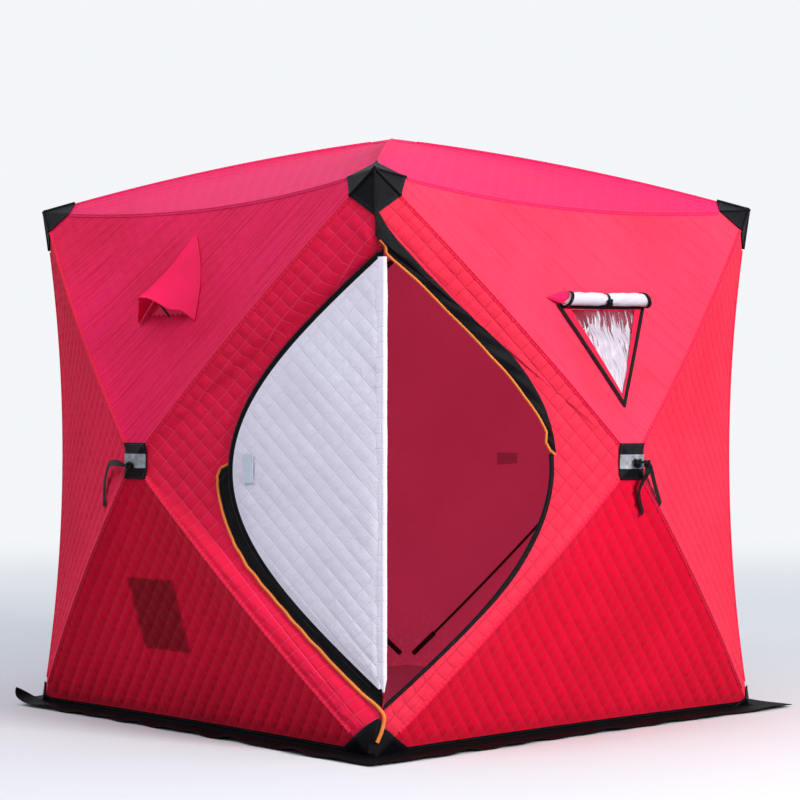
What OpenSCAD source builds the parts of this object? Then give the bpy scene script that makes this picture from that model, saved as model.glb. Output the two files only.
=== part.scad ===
// Pop-up ice fishing hut: four hub-tensioned quilted walls and a hub-tensioned roof
// on flexible poles, with a lens-shaped zip door round one corner, folded open.
// Millimetres, +Z up, origin on the ground at the centre of the footprint.
// Front wall faces -Y, right wall faces +X, the door is on the corner between them.

/* [Frame] */
// side of the square footprint, corner to corner
side = 1800; // [1500:10:2400]
// height of the four top corners
corner_h = 1778; // [1500:2:2100]
// how far each wall hub is pushed out from the corner plane
wall_bulge = 248; // [120:1:320]
// how far the roof hub is pushed up above the top corners
roof_rise = 262; // [120:1:340]
// outward arch of each pole between hub and corner
pole_arch = 26; // [8:1:40]
// diameter of the poles
pole_d = 11; // [8:0.5:14]
// outer diameter of the sleeve on each pole end
sleeve_d = 21; // [18:0.5:26]
// length of the sleeve on each pole end
sleeve_len = 130; // [80:5:200]
// diameter of each hub
hub_d = 100; // [84:1:130]
// thickness of each hub
hub_t = 24; // [20:1:34]

/* [Fabric] */
// thickness of the quilted wall fabric
fabric_t = 8; // [5:0.5:12]
// inward bow of each seam between two faces
edge_bow = 70; // [30:1:100]
// inward bow of the hem on the ground
hem_bow = 24; // [5:1:50]
// gap left at each seam
seam_gap = 0.5; // [0.3:0.1:1]
// thickness of single-layer trim
trim_t = 3; // [2:0.5:4]
// gap under trim that lies on a panel
trim_gap = 1; // [0.8:0.1:1.4]
// width of the snow skirt on the ground
skirt_w = 125; // [80:5:200]

/* [Door] */
// width of each half of the lens, from the fold to its tip
door_half_w = 575; // [420:1:640]
// height of the lower tip of the lens above the ground
door_sill = 194; // [120:1:320]
// distance of the upper tip of the lens below the top corner
door_head = 220; // [120:1:320]
// how far the open door corner is pulled along the right wall
door_pull = 36; // [0:1:60]
// gap round the free edge of the flap when it is shut
flap_gap = 8; // [6:0.5:14]
// gap between the folded flap and the half it lies on
fold_gap = 6; // [5.5:0.5:10]
// width of the storm flap over the upper zip
storm_w = 30; // [20:1:100]
// width of the storm flap over the lower zip
storm_low_w = 46; // [30:1:80]
// width of the bare zip tape on the front wall
zip_w = 20; // [12:1:30]
// width of the bare zip tape on the right wall
zip_low_w = 12; // [8:1:30]
// diameter of the piping on the storm flaps
piping_d = 6; // [5:0.5:9]

/* [Windows and vents] */
// width of each window border along its top
window_w = 430; // [300:5:520]
// distance of the lower tip of each window border from the hub
window_low = 185; // [120:5:300]
// distance of the top of each window border from the hub
window_high = 535; // [420:5:640]
// width of the black border strip
window_strip = 46; // [30:1:60]
// thickness of the clear pane
pane_t = 1.4; // [1:0.1:2]
// diameter of the rolled-up window cover
roll_d = 52; // [36:1:70]
// width of each vent hood at its mouth
hood_w = 310; // [200:5:380]
// how far the mouth of the vent hood stands off the wall
hood_lip = 92; // [50:1:130]
// distance of the mouth of each vent hood from the hub
hood_low = 486; // [380:2:560]
// distance of the tip of each vent hood from the hub
hood_top = 785; // [640:5:820]
// how far the tip of each vent hood lies to one side
hood_lean = 54; // [0:1:90]
// width of the vent hole under the hood
vent_hole_w = 210; // [120:5:260]
// height of the vent hole under the hood
vent_hole_h = 180; // [100:5:220]

/* [Patches and straps] */
// side of the square hub patch
patch_w = 116; // [100:1:150]
// height of the reflective band on the hub patch
band_h = 48; // [30:1:60]
// reach of the top corner patch along the edges
cap_reach = 138; // [90:1:180]
// reach of the bottom corner patch along the edges
foot_reach = 118; // [80:1:160]
// length of the pull strap tails
strap_len = 165; // [90:5:220]
// width of the pull strap webbing
strap_w = 24; // [16:1:34]
// diameter of the knot of each pull strap
knot_d = 30; // [20:1:40]
// width of the inside pocket
pocket_w = 250; // [150:5:320]
// height of the inside pocket
pocket_h = 249; // [150:1:300]
// distance of the upper edge of the pocket from the hub
pocket_drop = 406; // [300:2:500]
// how far the middle of the pocket lies to one side of the hub
pocket_side = 55; // [-100:5:100]

/* [Hidden] */
$fn = 32;
half = side / 2;
wall_tilt = atan(wall_bulge / half);
hub_in = fabric_t / cos(wall_tilt);
corner_in = fabric_t / (cos(wall_tilt) + sin(wall_tilt));
facet_len = sqrt(pow(corner_h / 2, 2) + pow(wall_bulge, 2));
hub_hole = 31.5;
hub_cut = hub_hole / half;
eps = seam_gap / 2 / half;
rows = 8;
cols = 12;
corner_x = [1, 1, -1, -1];
corner_y = [-1, 1, 1, -1];
normals = [[0, 0, 1], [0, -1, 0], [1, 0, 0], [0, 1, 0], [-1, 0, 0]];
fit_gap = 0.3;
hub_clear = 4;
patch_hole = 12;
hub_pin_d = 2 * (patch_hole - 2 * fit_gap);
sleeve_clear = 5.5;
pole_in_hub = hub_in + hub_d / 2 * tan(wall_tilt) + hub_t / 2 + hub_clear;
pole_in_corner = corner_in + (sleeve_d / 2 + sleeve_clear) * corner_in / fabric_t;
pole_foot_z = 1.2 * sleeve_d;
pole_start = 30;
pole_stop = 45;
socket_len = 31;
sleeve_over = 4;
cut_depth = 60;
door_half_h = (corner_h - door_sill - door_head) / 2;
door_mid_z = door_sill + door_half_h;

// faces and their facets: 0 roof, 1 front, 2 right, 3 back, 4 left
function left_corner(f) = (f + 2) % 4;
function right_corner(f) = (f + 3) % 4;
function unit(v) = v / norm(v);
function hub_pt(f, depth) =
    f == 0
    ? [0, 0, corner_h + roof_rise - depth]
    : normals[f] * (half + wall_bulge - depth) + [0, 0, corner_h / 2];
function corner_pt(c, top, depth) =
    [corner_x[c] * (half - depth), corner_y[c] * (half - depth), top ? corner_h - depth : 0];
function facet_a(f, k, depth) =
    f == 0
    ? corner_pt(right_corner(k + 1), true, depth)
    : corner_pt(k == 0 || k == 3 ? left_corner(f) : right_corner(f), k < 2, depth);
function facet_b(f, k, depth) =
    f == 0
    ? corner_pt(left_corner(k + 1), true, depth)
    : corner_pt(k < 2 ? right_corner(f) : left_corner(f), k == 0 || k == 3, depth);
function is_door(f, k) = (f == 1 && k == 1) || (f == 2 && k == 3);
function beside(f, k) =
    f == 0 ? normals[k + 1]
    : k == 0 ? normals[0]
    : k == 1 ? normals[f % 4 + 1]
    : normals[(f + 2) % 4 + 1];
function bow_at(f, k, t) =
    is_door(f, k) ? [door_pull / 7, door_pull, 0] * (1 - pow(t, 6))
    : f > 0 && k == 2 ? -normals[f] * hem_bow * (1 - t * t)
    : -(normals[f] + beside(f, k)) / sqrt(2) * edge_bow * (1 - t * t);
// point of a facet: r from hub to edge, t across, inner or outer skin
function skin(f, k, r, t, inner = false) =
    let (h = hub_pt(f, inner ? hub_in : 0))
    let (a = facet_a(f, k, inner ? corner_in : 0))
    let (b = facet_b(f, k, inner ? corner_in : 0))
    h + r * ((1 - t) / 2 * (a - h) + (1 + t) / 2 * (b - h))
    + bow_at(f, k, t) * pow(r, is_door(f, k) ? 1 : 2.5)
    + normals[f] * pole_arch * 4 * r * (1 - r) * pow(t, 4);
function facet_n(f, k) =
    let (h = hub_pt(f, 0))
    unit(cross(facet_b(f, k, 0) - h, facet_a(f, k, 0) - h));
function lifted(f, k, r, t, lift) = skin(f, k, r, t) + facet_n(f, k) * lift;

// closed sheet between two grids of points
module sheet(p, q, loop = false) {
    ni = len(p);
    nj = len(p[0]);
    flip = cross(p[1][0] - p[0][0], p[1][1] - p[0][0]) * (p[0][0] - q[0][0]) > 0;
    pts = [for (g = [p, q], row = g, v = row) v];
    off = ni * nj;
    jn = loop ? nj : nj - 1;
    top = [for (i = [0:ni - 2], j = [0:jn - 1])
        let (a = i * nj + j, b = i * nj + (j + 1) % nj)
        let (d = a + nj, c = b + nj)
        each [[a, d, c], [a, c, b], [a + off, c + off, d + off], [a + off, b + off, c + off]]];
    ends = [for (j = [0:jn - 1])
        let (a = j, b = (j + 1) % nj)
        let (d = (ni - 1) * nj + j, c = (ni - 1) * nj + (j + 1) % nj)
        each [[a, b, b + off], [a, b + off, a + off], [c, d, d + off], [c, d + off, c + off]]];
    sides = loop ? [] : [for (i = [0:ni - 2])
        let (a = i * nj, d = (i + 1) * nj)
        let (b = i * nj + nj - 1, c = (i + 1) * nj + nj - 1)
        each [[d, a, a + off], [d, a + off, d + off], [b, c, c + off], [b, c + off, b + off]]];
    all = concat(top, ends, sides);
    polyhedron(pts, flip ? [for (t = all) [t[2], t[1], t[0]]] : all, convexity = 6);
}

module panel(f, k) {
    r_list = [for (i = [0:rows]) hub_cut + (1 - eps - hub_cut) * i / rows];
    n = is_door(f, k) ? 2 * cols : cols;
    grid = [for (s = [false, true]) [for (r = r_list) [for (j = [0:n])
        skin(f, k, r, (2 * j / n - 1) * (1 - eps / r), s)]]];
    sheet(grid[0], grid[1]);
}

// local frame of a facet: x along its edge, y from the hub to the edge, z outward
function facet_x(f, k) = unit(facet_b(f, k, 0) - facet_a(f, k, 0));
function facet_y(f, k) = unit((facet_a(f, k, 0) + facet_b(f, k, 0)) / 2 - hub_pt(f, 0));
function flat_pt(f, k, r, t) =
    let (d = skin(f, k, r, t) - hub_pt(f, 0))
    [d * facet_x(f, k), d * facet_y(f, k)];

module on_facet(f, k, from = [0, 0, 0]) {
    h = hub_pt(f, 0) + from;
    ex = facet_x(f, k);
    ey = facet_y(f, k);
    n = facet_n(f, k);
    multmatrix([
        [ex[0], ey[0], n[0], h[0]],
        [ex[1], ey[1], n[1], h[1]],
        [ex[2], ey[2], n[2], h[2]],
        [0, 0, 0, 1]]) children();
}

// windows and vents: triangles in the top facets, measured from the hub
tip_strip = 1.55 * window_strip;
top_strip = 0.32 * window_strip;
hole_low = window_low + tip_strip;
hole_high = window_high - top_strip;
hole_w = window_w * (hole_high - hole_low) / (window_high - window_low);
hole_margin = 9;
side_share = 1.9;
roll_gap = 15;
vent_rim = 28;
roll_lift = 3.9;
function at_len(f, len, x) = flat_pt(f, 0, len / facet_len, x / half * facet_len / len);

module facet_hole(pts) {
    translate([0, 0, -cut_depth])
        linear_extrude(2 * cut_depth)
            polygon(pts);
}

module window_cut(f, grow) {
    wide = side_share * grow;
    facet_hole([
        at_len(f, hole_low, 0) - [0, wide],
        at_len(f, hole_high, hole_w / 2) + [wide, grow],
        at_len(f, hole_high, -hole_w / 2) + [-wide, grow]]);
}

module vent_cut(f) {
    low = hood_low + vent_rim;
    facet_hole([
        at_len(f, low + vent_hole_h, hood_lean * vent_hole_h / (hood_top - hood_low)),
        at_len(f, low, vent_hole_w / 2),
        at_len(f, low, -vent_hole_w / 2)]);
}

// triangle lying on a facet, from its tip to its wide side
module tri_sheet(f, tip, wide, w, low, high, lip = 0, lean = 0) {
    n = 8;
    blunt = 0.03;
    grid = [for (z = [low, high]) [for (i = [0:n])
        let (v = blunt + (1 - blunt) * i / n)
        let (r = (tip + (wide - tip) * v) / facet_len)
        [for (j = [0:n])
            let (u = 2 * j / n - 1)
            let (x = u * v * w / 2 + lean * (1 - v))
            lifted(f, 0, r, x / half / r, z + lip * v * (1 - u * u))]]];
    sheet(grid[1], grid[0]);
}

// door: the lens is drawn in the plane of each half, s from the fold, z up
fold_x = half + door_pull / 7;
fold_y = -half + door_pull;
axis_off = fold_gap / 2;
front_dir = unit([0, -half - wall_bulge] - [fold_x, fold_y]);
right_dir = unit([half + wall_bulge, 0] - [fold_x, fold_y]);
front_out = [-front_dir[1], front_dir[0]];
right_out = [right_dir[1], -right_dir[0]];
axis_xy = [fold_x, fold_y] + (front_out + right_out) * axis_off / (1 + front_out * right_out);
axis_foot = axis_xy - front_out * axis_off;
edge_in = 9;
rod_d = 5;
rod_gap = 0.5;
tongue_t = 2.2;
half_gap = 0.6;
hem_share = 0.94;
lens_n = 24;
// where the flaps, piping and zips start and stop, in degrees of the lens curve
storm_from = 4;
storm_to = 84;
cord_to = 80;
zip_from = 3;
zip_to = 82;
zip_low_from = 10;
trim_in = 4;
cord_gap = 0.8;
function lens(a, w, h) = [w * cos(a), h * a / 90];

module lens_plate(w, h) {
    top = acos(edge_in / w);
    polygon([for (i = [0:lens_n]) lens((2 * i / lens_n - 1) * top, w, h)]);
}

// stand a shape drawn in s and z on a door plane
module on_door(dir, out, base) {
    up = dir[1] * out[0] > dir[0] * out[1] ? 1 : -1;
    multmatrix([
        [dir[0], 0, out[0], base[0]],
        [dir[1], 0, out[1], base[1]],
        [0, up, 0, door_mid_z],
        [0, 0, 0, 1]]) children();
}

module lens_cut(dir, out) {
    on_door(dir, out, [fold_x, fold_y])
        translate([0, 0, -cut_depth])
            linear_extrude(2 * cut_depth)
                polygon(concat(
                    [[-cut_depth, -door_half_h], [-cut_depth, door_half_h]],
                    [for (i = [0:lens_n])
                        lens(90 - 180 * i / lens_n, door_half_w, door_half_h)]));
}

// point of a door panel at lens angle a, moved w off the lens edge
function lens_r(f, s) = f == 1 ? (fold_x + front_dir[0] * s) / fold_x : (fold_y + right_dir[1] * s) / fold_y;
function beside_lens(f, a, w, lift) =
    let (tan_s = -door_half_w * sin(a) * PI / 180, tan_z = door_half_h / 90)
    let (m = norm([tan_s, tan_z]))
    let (s = door_half_w * cos(a) + w * tan_z / m, z = door_half_h * a / 90 - w * tan_s / m)
    let (r = lens_r(f, s))
    let (t = (z + door_mid_z - corner_h / 2) / (corner_h / 2) / r)
    lifted(f, f == 1 ? 1 : 3, r, f == 1 ? -t : t, lift);

module lens_band(f, a0, a1, w0, w1) {
    n = 14;
    grid = [for (z = [trim_gap, trim_gap + trim_t]) [for (i = [0:2]) [for (j = [0:n])
        beside_lens(f, a0 + (a1 - a0) * j / n, w0 + (w1 - w0) * i / 2, z)]]];
    sheet(grid[1], grid[0]);
}

module lens_cord(f, a0, a1, w) {
    n = 18;
    c = [for (j = [0:n]) beside_lens(f, a0 + (a1 - a0) * j / n, w, trim_gap + piping_d / 2)];
    up = facet_n(f, f == 1 ? 1 : 3);
    ring = [for (j = [0:n])
        let (d = unit(c[min(j + 1, n)] - c[max(j - 1, 0)]))
        let (sd = unit(cross(d, up)))
        let (nn = cross(sd, d))
        [for (q = [0:5]) c[j] + (sd * cos(60 * q) + nn * sin(60 * q)) * piping_d / 2]];
    side_f = [for (j = [0:n - 1], q = [0:5])
        let (a = j * 6 + q, b = j * 6 + (q + 1) % 6)
        each [[a, b, b + 6], [a, b + 6, a + 6]]];
    caps = [[5, 4, 3, 2, 1, 0], [for (q = [0:5]) n * 6 + q]];
    flip = cross(ring[0][1] - ring[0][0], ring[1][0] - ring[0][0]) * (ring[0][0] - c[0]) > 0;
    all = concat(side_f, caps);
    polyhedron([for (g = ring, v = g) v],
        flip ? all : [for (t = all) [for (i = [len(t) - 1:-1:0]) t[i]]], convexity = 4);
}

// poles: circular arcs from hub to corner
function pole_a(f) = hub_pt(f, pole_in_hub);
function pole_c(c, top) =
    [corner_x[c] * (half - pole_in_corner), corner_y[c] * (half - pole_in_corner),
        top ? corner_h - pole_in_corner : pole_foot_z];

module pole_frame(f, c, top) {
    a = pole_a(f);
    b = pole_c(c, top);
    e1 = unit(b - a);
    e2 = unit(normals[f] - (normals[f] * e1) * e1);
    e3 = cross(e1, e2);
    o = (a + b) / 2 + e2 * (pole_arch - arc_r(f, c, top));
    multmatrix([
        [e1[0], e2[0], e3[0], o[0]],
        [e1[1], e2[1], e3[1], o[1]],
        [e1[2], e2[2], e3[2], o[2]],
        [0, 0, 0, 1]]) children();
}

function chord(f, c, top) = norm(pole_c(c, top) - pole_a(f));
function arc_r(f, c, top) = (pow(chord(f, c, top) / 2, 2) + pow(pole_arch, 2)) / (2 * pole_arch);
function arc_half(f, c, top) = asin(chord(f, c, top) / 2 / arc_r(f, c, top));
function arc_deg(f, c, top, len) = len / arc_r(f, c, top) * 180 / PI;

module pole(f, c, top) {
    first = 90 - arc_half(f, c, top) + arc_deg(f, c, top, pole_stop);
    last = 90 + arc_half(f, c, top) - arc_deg(f, c, top, pole_start);
    pole_frame(f, c, top)
        rotate([0, 0, first])
            rotate_extrude(angle = last - first)
                translate([arc_r(f, c, top), 0])
                    circle(d = pole_d);
}

module pole_sleeve(f, c, top) {
    mid = 90 - arc_half(f, c, top) + arc_deg(f, c, top, pole_stop + sleeve_len / 2 - sleeve_over);
    pole_frame(f, c, top)
        rotate([0, 0, mid])
            translate([arc_r(f, c, top), 0, 0])
                rotate([90, 0, 0])
                    difference() {
                        cylinder(d = sleeve_d, h = sleeve_len, center = true);
                        cylinder(d = pole_d + 4 * fit_gap, h = sleeve_len + 2, center = true);
                    }
}

module pole_socket(f, c, top) {
    mid = 90 + arc_half(f, c, top) - arc_deg(f, c, top, pole_start + socket_len / 2 - 1.5);
    pole_frame(f, c, top)
        rotate([0, 0, mid])
            translate([arc_r(f, c, top), 0, 0])
                rotate([90, 0, 0])
                    cylinder(d = pole_d + 2 * fit_gap, h = socket_len, center = true);
}

module along_normal(f) {
    translate(hub_pt(f, 0))
        rotate(f == 0 ? [0, 0, 0] : [90, 0, (f - 1) * 90])
            children();
}

function face_corners(f) =
    f == 0
    ? [for (c = [0:3]) [c, true]]
    : [for (c = [left_corner(f), right_corner(f)], top = [true, false]) [c, top]];

module hub(f) {
    difference() {
        along_normal(f) {
            translate([0, 0, -pole_in_hub - hub_t / 2])
                cylinder(d = hub_d, h = hub_t);
            translate([0, 0, -pole_in_hub])
                cylinder(d = hub_pin_d, h = pole_in_hub - 2 * fit_gap);
        }
        for (e = face_corners(f))
            pole_socket(f, e[0], e[1]);
    }
}

module face_poles(f) {
    for (e = face_corners(f))
        pole(f, e[0], e[1]);
}

// patch round a hub, over all four facets of a face
band_start = 27;
band_t = 1.2;
knot_stem = 18;
tail_turn = [16, 32];
tail_lift = [20, 16];

module hub_patch(f) {
    r_list = [for (i = [0:2]) (patch_hole + (patch_w / 2 - patch_hole) * i / 2) / half];
    order = f == 0 ? [0, 3, 2, 1] : [0, 1, 2, 3];
    grid = [for (z = [trim_gap, trim_gap + trim_t]) [for (r = r_list) [for (k = order, j = [0:7])
        skin(f, k, r, j / 4 - 1) + normals[f] * z]]];
    sheet(grid[1], grid[0], loop = true);
}

module band_piece(f, k) {
    low = trim_gap + trim_t + 2 * fit_gap;
    band_len = patch_w / 2 - 1 - band_start;
    grid = [for (z = [low, low + band_t]) [for (i = [0:2])
        let (r = (band_start + band_len * i / 2) / half)
        [for (j = [0:4])
            skin(f, k, r, (j / 2 - 1) * band_h / corner_h / r) + normals[f] * z]]];
    sheet(grid[1], grid[0]);
}

module pull_strap(f) {
    along_normal(f) {
        translate([0, 0, -fit_gap])
            cylinder(d = knot_stem, h = knot_stem);
        translate([0, 0, knot_stem])
            sphere(d = knot_d);
        for (i = [0, 1])
            translate([0, 0, tail_lift[i]])
                rotate([0, 0, f % 2 == 1 ? -tail_turn[i] : tail_turn[i]])
                    translate([-strap_w / 2, -strap_len, 0])
                        cube([strap_w, strap_len, trim_t]);
    }
}

// three-sided corner patch; the ring runs round the corner on the panels
cap_lift = 1.6 * trim_gap;
foot_lift = 3.2 * trim_gap;
cap_pole_share = 1.1;
foot_pole_share = 0.8;
hem_lift = trim_t + 1;

module top_cap(c) {
    ca = corner_pt(c, true, 0);
    out = unit([corner_x[c], corner_y[c], 1]);
    fl = (c + 1) % 4 == 0 ? 4 : (c + 1) % 4;
    fr = fl % 4 + 1;
    q = cap_reach / side;
    qz = cap_reach / corner_h;
    pr = 1 - cap_pole_share * q;
    ring = [
        skin(fl, 0, 1, 1 - 2 * q),
        skin(fl, 0, pr, 1),
        skin(fl, 1, 1, -1 + 2 * qz),
        skin(fr, 3, pr, 1),
        skin(fr, 0, 1, -1 + 2 * q),
        skin(0, fr - 1, pr, 1)];
    fan_sheet(ca, ring, out, cap_lift);
}

module bottom_cap(c) {
    ca = corner_pt(c, false, 0) + [0, 0, hem_lift];
    out = unit([corner_x[c], corner_y[c], 0]);
    fl = (c + 1) % 4 == 0 ? 4 : (c + 1) % 4;
    fr = fl % 4 + 1;
    q = foot_reach / side;
    qz = foot_reach / corner_h;
    pr = 1 - foot_pole_share * q;
    up = [0, 0, hem_lift];
    ring = [
        skin(fl, 2, 1, -1 + 2 * q) + up,
        skin(fl, 1, pr, 1),
        skin(fl, 1, 1, 1 - 2 * qz),
        skin(fr, 3, pr, -1),
        skin(fr, 2, 1, 1 - 2 * q) + up];
    fan_sheet(ca, ring, out, foot_lift, open = true);
}

module fan_sheet(tip, ring, out, low, open = false) {
    n = len(ring);
    pts = concat(
        [tip + out * (low + trim_t)], [for (v = ring) v + out * (low + trim_t)],
        [tip + out * low], [for (v = ring) v + out * low]);
    o = n + 1;
    last = open ? n - 1 : n;
    fan = [for (i = [1:last])
        let (a = i, b = i % n + 1)
        each [[0, a, b], [o, b + o, a + o], [b, a, a + o], [b, a + o, b + o]]];
    cut = open ? [[1, 0, o], [1, o, 1 + o], [0, n, n + o], [0, n + o, o]] : [];
    all = concat(fan, cut);
    flip = cross(ring[0] - tip, ring[1] - tip) * out > 0;
    polyhedron(pts, flip ? [for (t = all) [t[2], t[1], t[0]]] : all, convexity = 4);
}

// strip on the ground along one wall, mitred at the corners with rounded-off tips
skirt_gap = 2;
mitre_out = 0.62;
mitre_along = 0.54;
tip_along = 0.2;

module skirt(f) {
    n = cols;
    nn = [normals[f][0], normals[f][1]];
    inner = [for (j = [0:n])
        let (p = skin(f, 2, 1, 2 * j / n - 1))
        [p[0], p[1]] + nn * skirt_gap];
    dir = unit(inner[n] - inner[0]);
    linear_extrude(trim_t)
        polygon(concat(inner, [
            inner[n] + (nn * mitre_out + dir * mitre_along) * skirt_w,
            inner[n] + (nn + dir * tip_along) * skirt_w,
            inner[0] + (nn - dir * tip_along) * skirt_w,
            inner[0] + (nn * mitre_out - dir * mitre_along) * skirt_w]));
}

// sub-parts
fabric_red = [0.80, 0.06, 0.16];
roof_red = [0.85, 0.12, 0.30];
black = [0.06, 0.06, 0.08];

module roof_front_panel() { color(roof_red) panel(0, 0); }
module roof_right_panel() { color(roof_red) panel(0, 1); }
module roof_back_panel() { color(roof_red) panel(0, 2); }
module roof_left_panel() { color(roof_red) panel(0, 3); }

module vented_panel(f) {
    difference() {
        panel(f, 0);
        on_facet(f, 0) vent_cut(f);
    }
}

module window_panel(f) {
    difference() {
        panel(f, 0);
        on_facet(f, 0) window_cut(f, hole_margin);
    }
}

module front_wall_top_panel() { color(fabric_red) vented_panel(1); }
module front_wall_left_panel() { color(fabric_red) panel(1, 3); }
module front_wall_bottom_panel() { color(fabric_red) panel(1, 2); }
module front_wall_door_panel() {
    color(fabric_red)
        difference() {
            panel(1, 1);
            lens_cut(front_dir, front_out);
        }
}

module right_wall_top_panel() { color(fabric_red) window_panel(2); }
module right_wall_back_panel() { color(fabric_red) panel(2, 1); }
module right_wall_bottom_panel() { color(fabric_red) panel(2, 2); }
module right_wall_door_panel() {
    color(fabric_red)
        difference() {
            panel(2, 3);
            lens_cut(right_dir, right_out);
        }
}

module back_wall_top_panel() { color(fabric_red) vented_panel(3); }
module back_wall_left_panel() { color(fabric_red) panel(3, 1); }
module back_wall_bottom_panel() { color(fabric_red) panel(3, 2); }
module back_wall_right_panel() { color(fabric_red) panel(3, 3); }

module left_wall_top_panel() { color(fabric_red) window_panel(4); }
module left_wall_front_panel() { color(fabric_red) panel(4, 1); }
module left_wall_bottom_panel() { color(fabric_red) panel(4, 2); }
module left_wall_back_panel() { color(fabric_red) panel(4, 3); }

module pole_hubs() { color(black) for (f = [0:4]) hub(f); }
module roof_poles() { color(black) face_poles(0); }
module wall_poles() { color(black) for (f = [1:4]) face_poles(f); }
module pole_sleeves() {
    color(black)
        for (f = [0:4], e = face_corners(f))
            pole_sleeve(f, e[0], e[1]);
}

module door_fixed_half() {
    w = door_half_w - half_gap;
    h = door_half_h - half_gap;
    color(fabric_red)
        union() {
            on_door(front_dir, front_out, [fold_x, fold_y])
                translate([0, 0, -fabric_t])
                    linear_extrude(fabric_t)
                        lens_plate(w, h);
            on_door(front_dir, front_out, axis_foot)
                hinge_tongue(-fabric_t / 2, rod_d / 2 + rod_gap, h * hem_share);
        }
}

// strip in the door plane frame that reaches from the sheet edge to the fold axis
module hinge_tongue(sheet_z, start, h) {
    reach = edge_in + tongue_t;
    d = unit([reach, sheet_z - axis_off]);
    m = [-d[1], d[0]] * tongue_t / 2;
    o = [0, axis_off];
    p0 = o + d * start;
    p1 = [reach, sheet_z];
    translate([0, h, 0])
        rotate([90, 0, 0])
            linear_extrude(2 * h)
                polygon([p0 - m, p0 + m, p1 + m, p1 - m]);
}

module door_flap() {
    w = door_half_w - flap_gap;
    h = door_half_h - flap_gap;
    color([0.85, 0.84, 0.9])
        on_door(front_dir, front_out, axis_foot) {
            translate([0, 0, fold_gap])
                linear_extrude(fabric_t)
                    lens_plate(w, h);
            hinge_tongue(fold_gap + fabric_t / 2, 0, h * hem_share);
            translate([0, h * hem_share, axis_off])
                rotate([90, 0, 0])
                    cylinder(d = rod_d, h = 2 * h * hem_share);
        }
}

module storm_flap_upper() {
    color(black) lens_band(2, -storm_from, storm_to, trim_in, trim_in + storm_w);
}
module storm_flap_lower() {
    color(black) lens_band(1, -storm_to, -storm_from, trim_in, trim_in + storm_low_w);
}
module storm_piping() {
    far = trim_in + storm_low_w + cord_gap + piping_d / 2;
    color([0.93, 0.5, 0.2]) {
        lens_cord(2, -storm_from, cord_to, trim_in - cord_gap - piping_d / 2);
        lens_cord(1, -cord_to, -storm_from, far);
    }
}
module door_zips() {
    color(black) {
        lens_band(1, zip_from, zip_to, trim_in, trim_in + zip_w);
        lens_band(2, -zip_to, -zip_low_from, trim_in, trim_in + zip_low_w);
    }
}

module window_borders() {
    color(black)
        for (f = [2, 4])
            difference() {
                tri_sheet(f, window_low, window_high, window_w, trim_gap, trim_gap + trim_t);
                on_facet(f, 0) window_cut(f, 0);
            }
}

module window_panes() {
    g = hole_margin - 1;
    top = trim_gap - fit_gap;
    color([0.8, 0.85, 0.9, 0.35])
        for (f = [2, 4])
            tri_sheet(f, hole_low - side_share * g, hole_high + g / 2, hole_w + 3 * g, top - pane_t, top);
}

module window_rolls() {
    r = (window_high + roll_gap + roll_d / 2) / facet_len;
    color([0.86, 0.86, 0.9])
        for (f = [2, 4])
            translate(lifted(f, 0, r, 0, roll_d / 2 + roll_lift))
                rotate(f == 2 ? [90, 0, 0] : [-90, 0, 0])
                    cylinder(d = roll_d, h = window_w, center = true);
}

module vent_hoods() {
    color(fabric_red)
        for (f = [1, 3])
            tri_sheet(f, hood_top, hood_low, hood_w, trim_gap, trim_gap + trim_t, hood_lip, hood_lean);
}

strut_d = 8;
strut_share = 0.94;

module vent_struts() {
    r = (hood_top + (hood_low - hood_top) * strut_share) / facet_len;
    color(black)
        for (f = [1, 3])
            on_facet(f, 0, skin(f, 0, r, 0) - hub_pt(f, 0))
                translate([0, 0, 2 * fit_gap])
                    cylinder(d = strut_d, h = hood_lip * strut_share - 5 * fit_gap);
}

module front_skirt() { color(black) skirt(1); }
module right_skirt() { color(black) skirt(2); }
module back_skirt() { color(black) skirt(3); }
module left_skirt() { color(black) skirt(4); }

module top_corner_patches() { color(black) for (c = [0:3]) top_cap(c); }
module bottom_corner_patches() { color(black) for (c = [0:3]) bottom_cap(c); }
module hub_patches() { color(black) for (f = [0:4]) hub_patch(f); }
module reflective_bands() { color([0.55, 0.56, 0.58]) for (f = [1:4], k = [1, 3]) band_piece(f, k); }
module pull_straps() { color(black) for (f = [1:4]) pull_strap(f); }

module inner_pocket() {
    n = 5;
    far = trim_gap + trim_t;
    grid = [for (z = [trim_gap, far]) [for (i = [0:n])
        let (r = (pocket_drop + pocket_h * i / n) / facet_len)
        [for (j = [0:n])
            let (x = pocket_side + pocket_w * (j / n - 1 / 2))
            skin(1, 2, r, x / half / r, true) - facet_n(1, 2) * z]]];
    color(black) sheet(grid[0], grid[1]);
}

roof_front_panel();
roof_right_panel();
roof_back_panel();
roof_left_panel();
front_wall_top_panel();
front_wall_left_panel();
front_wall_bottom_panel();
front_wall_door_panel();
right_wall_top_panel();
right_wall_back_panel();
right_wall_bottom_panel();
right_wall_door_panel();
back_wall_top_panel();
back_wall_left_panel();
back_wall_bottom_panel();
back_wall_right_panel();
left_wall_top_panel();
left_wall_front_panel();
left_wall_bottom_panel();
left_wall_back_panel();
pole_hubs();
roof_poles();
wall_poles();
pole_sleeves();
door_fixed_half();
door_flap();
storm_flap_upper();
storm_flap_lower();
storm_piping();
door_zips();
window_borders();
window_panes();
window_rolls();
vent_hoods();
vent_struts();
front_skirt();
right_skirt();
back_skirt();
left_skirt();
top_corner_patches();
bottom_corner_patches();
hub_patches();
reflective_bands();
pull_straps();
inner_pocket();
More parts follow.
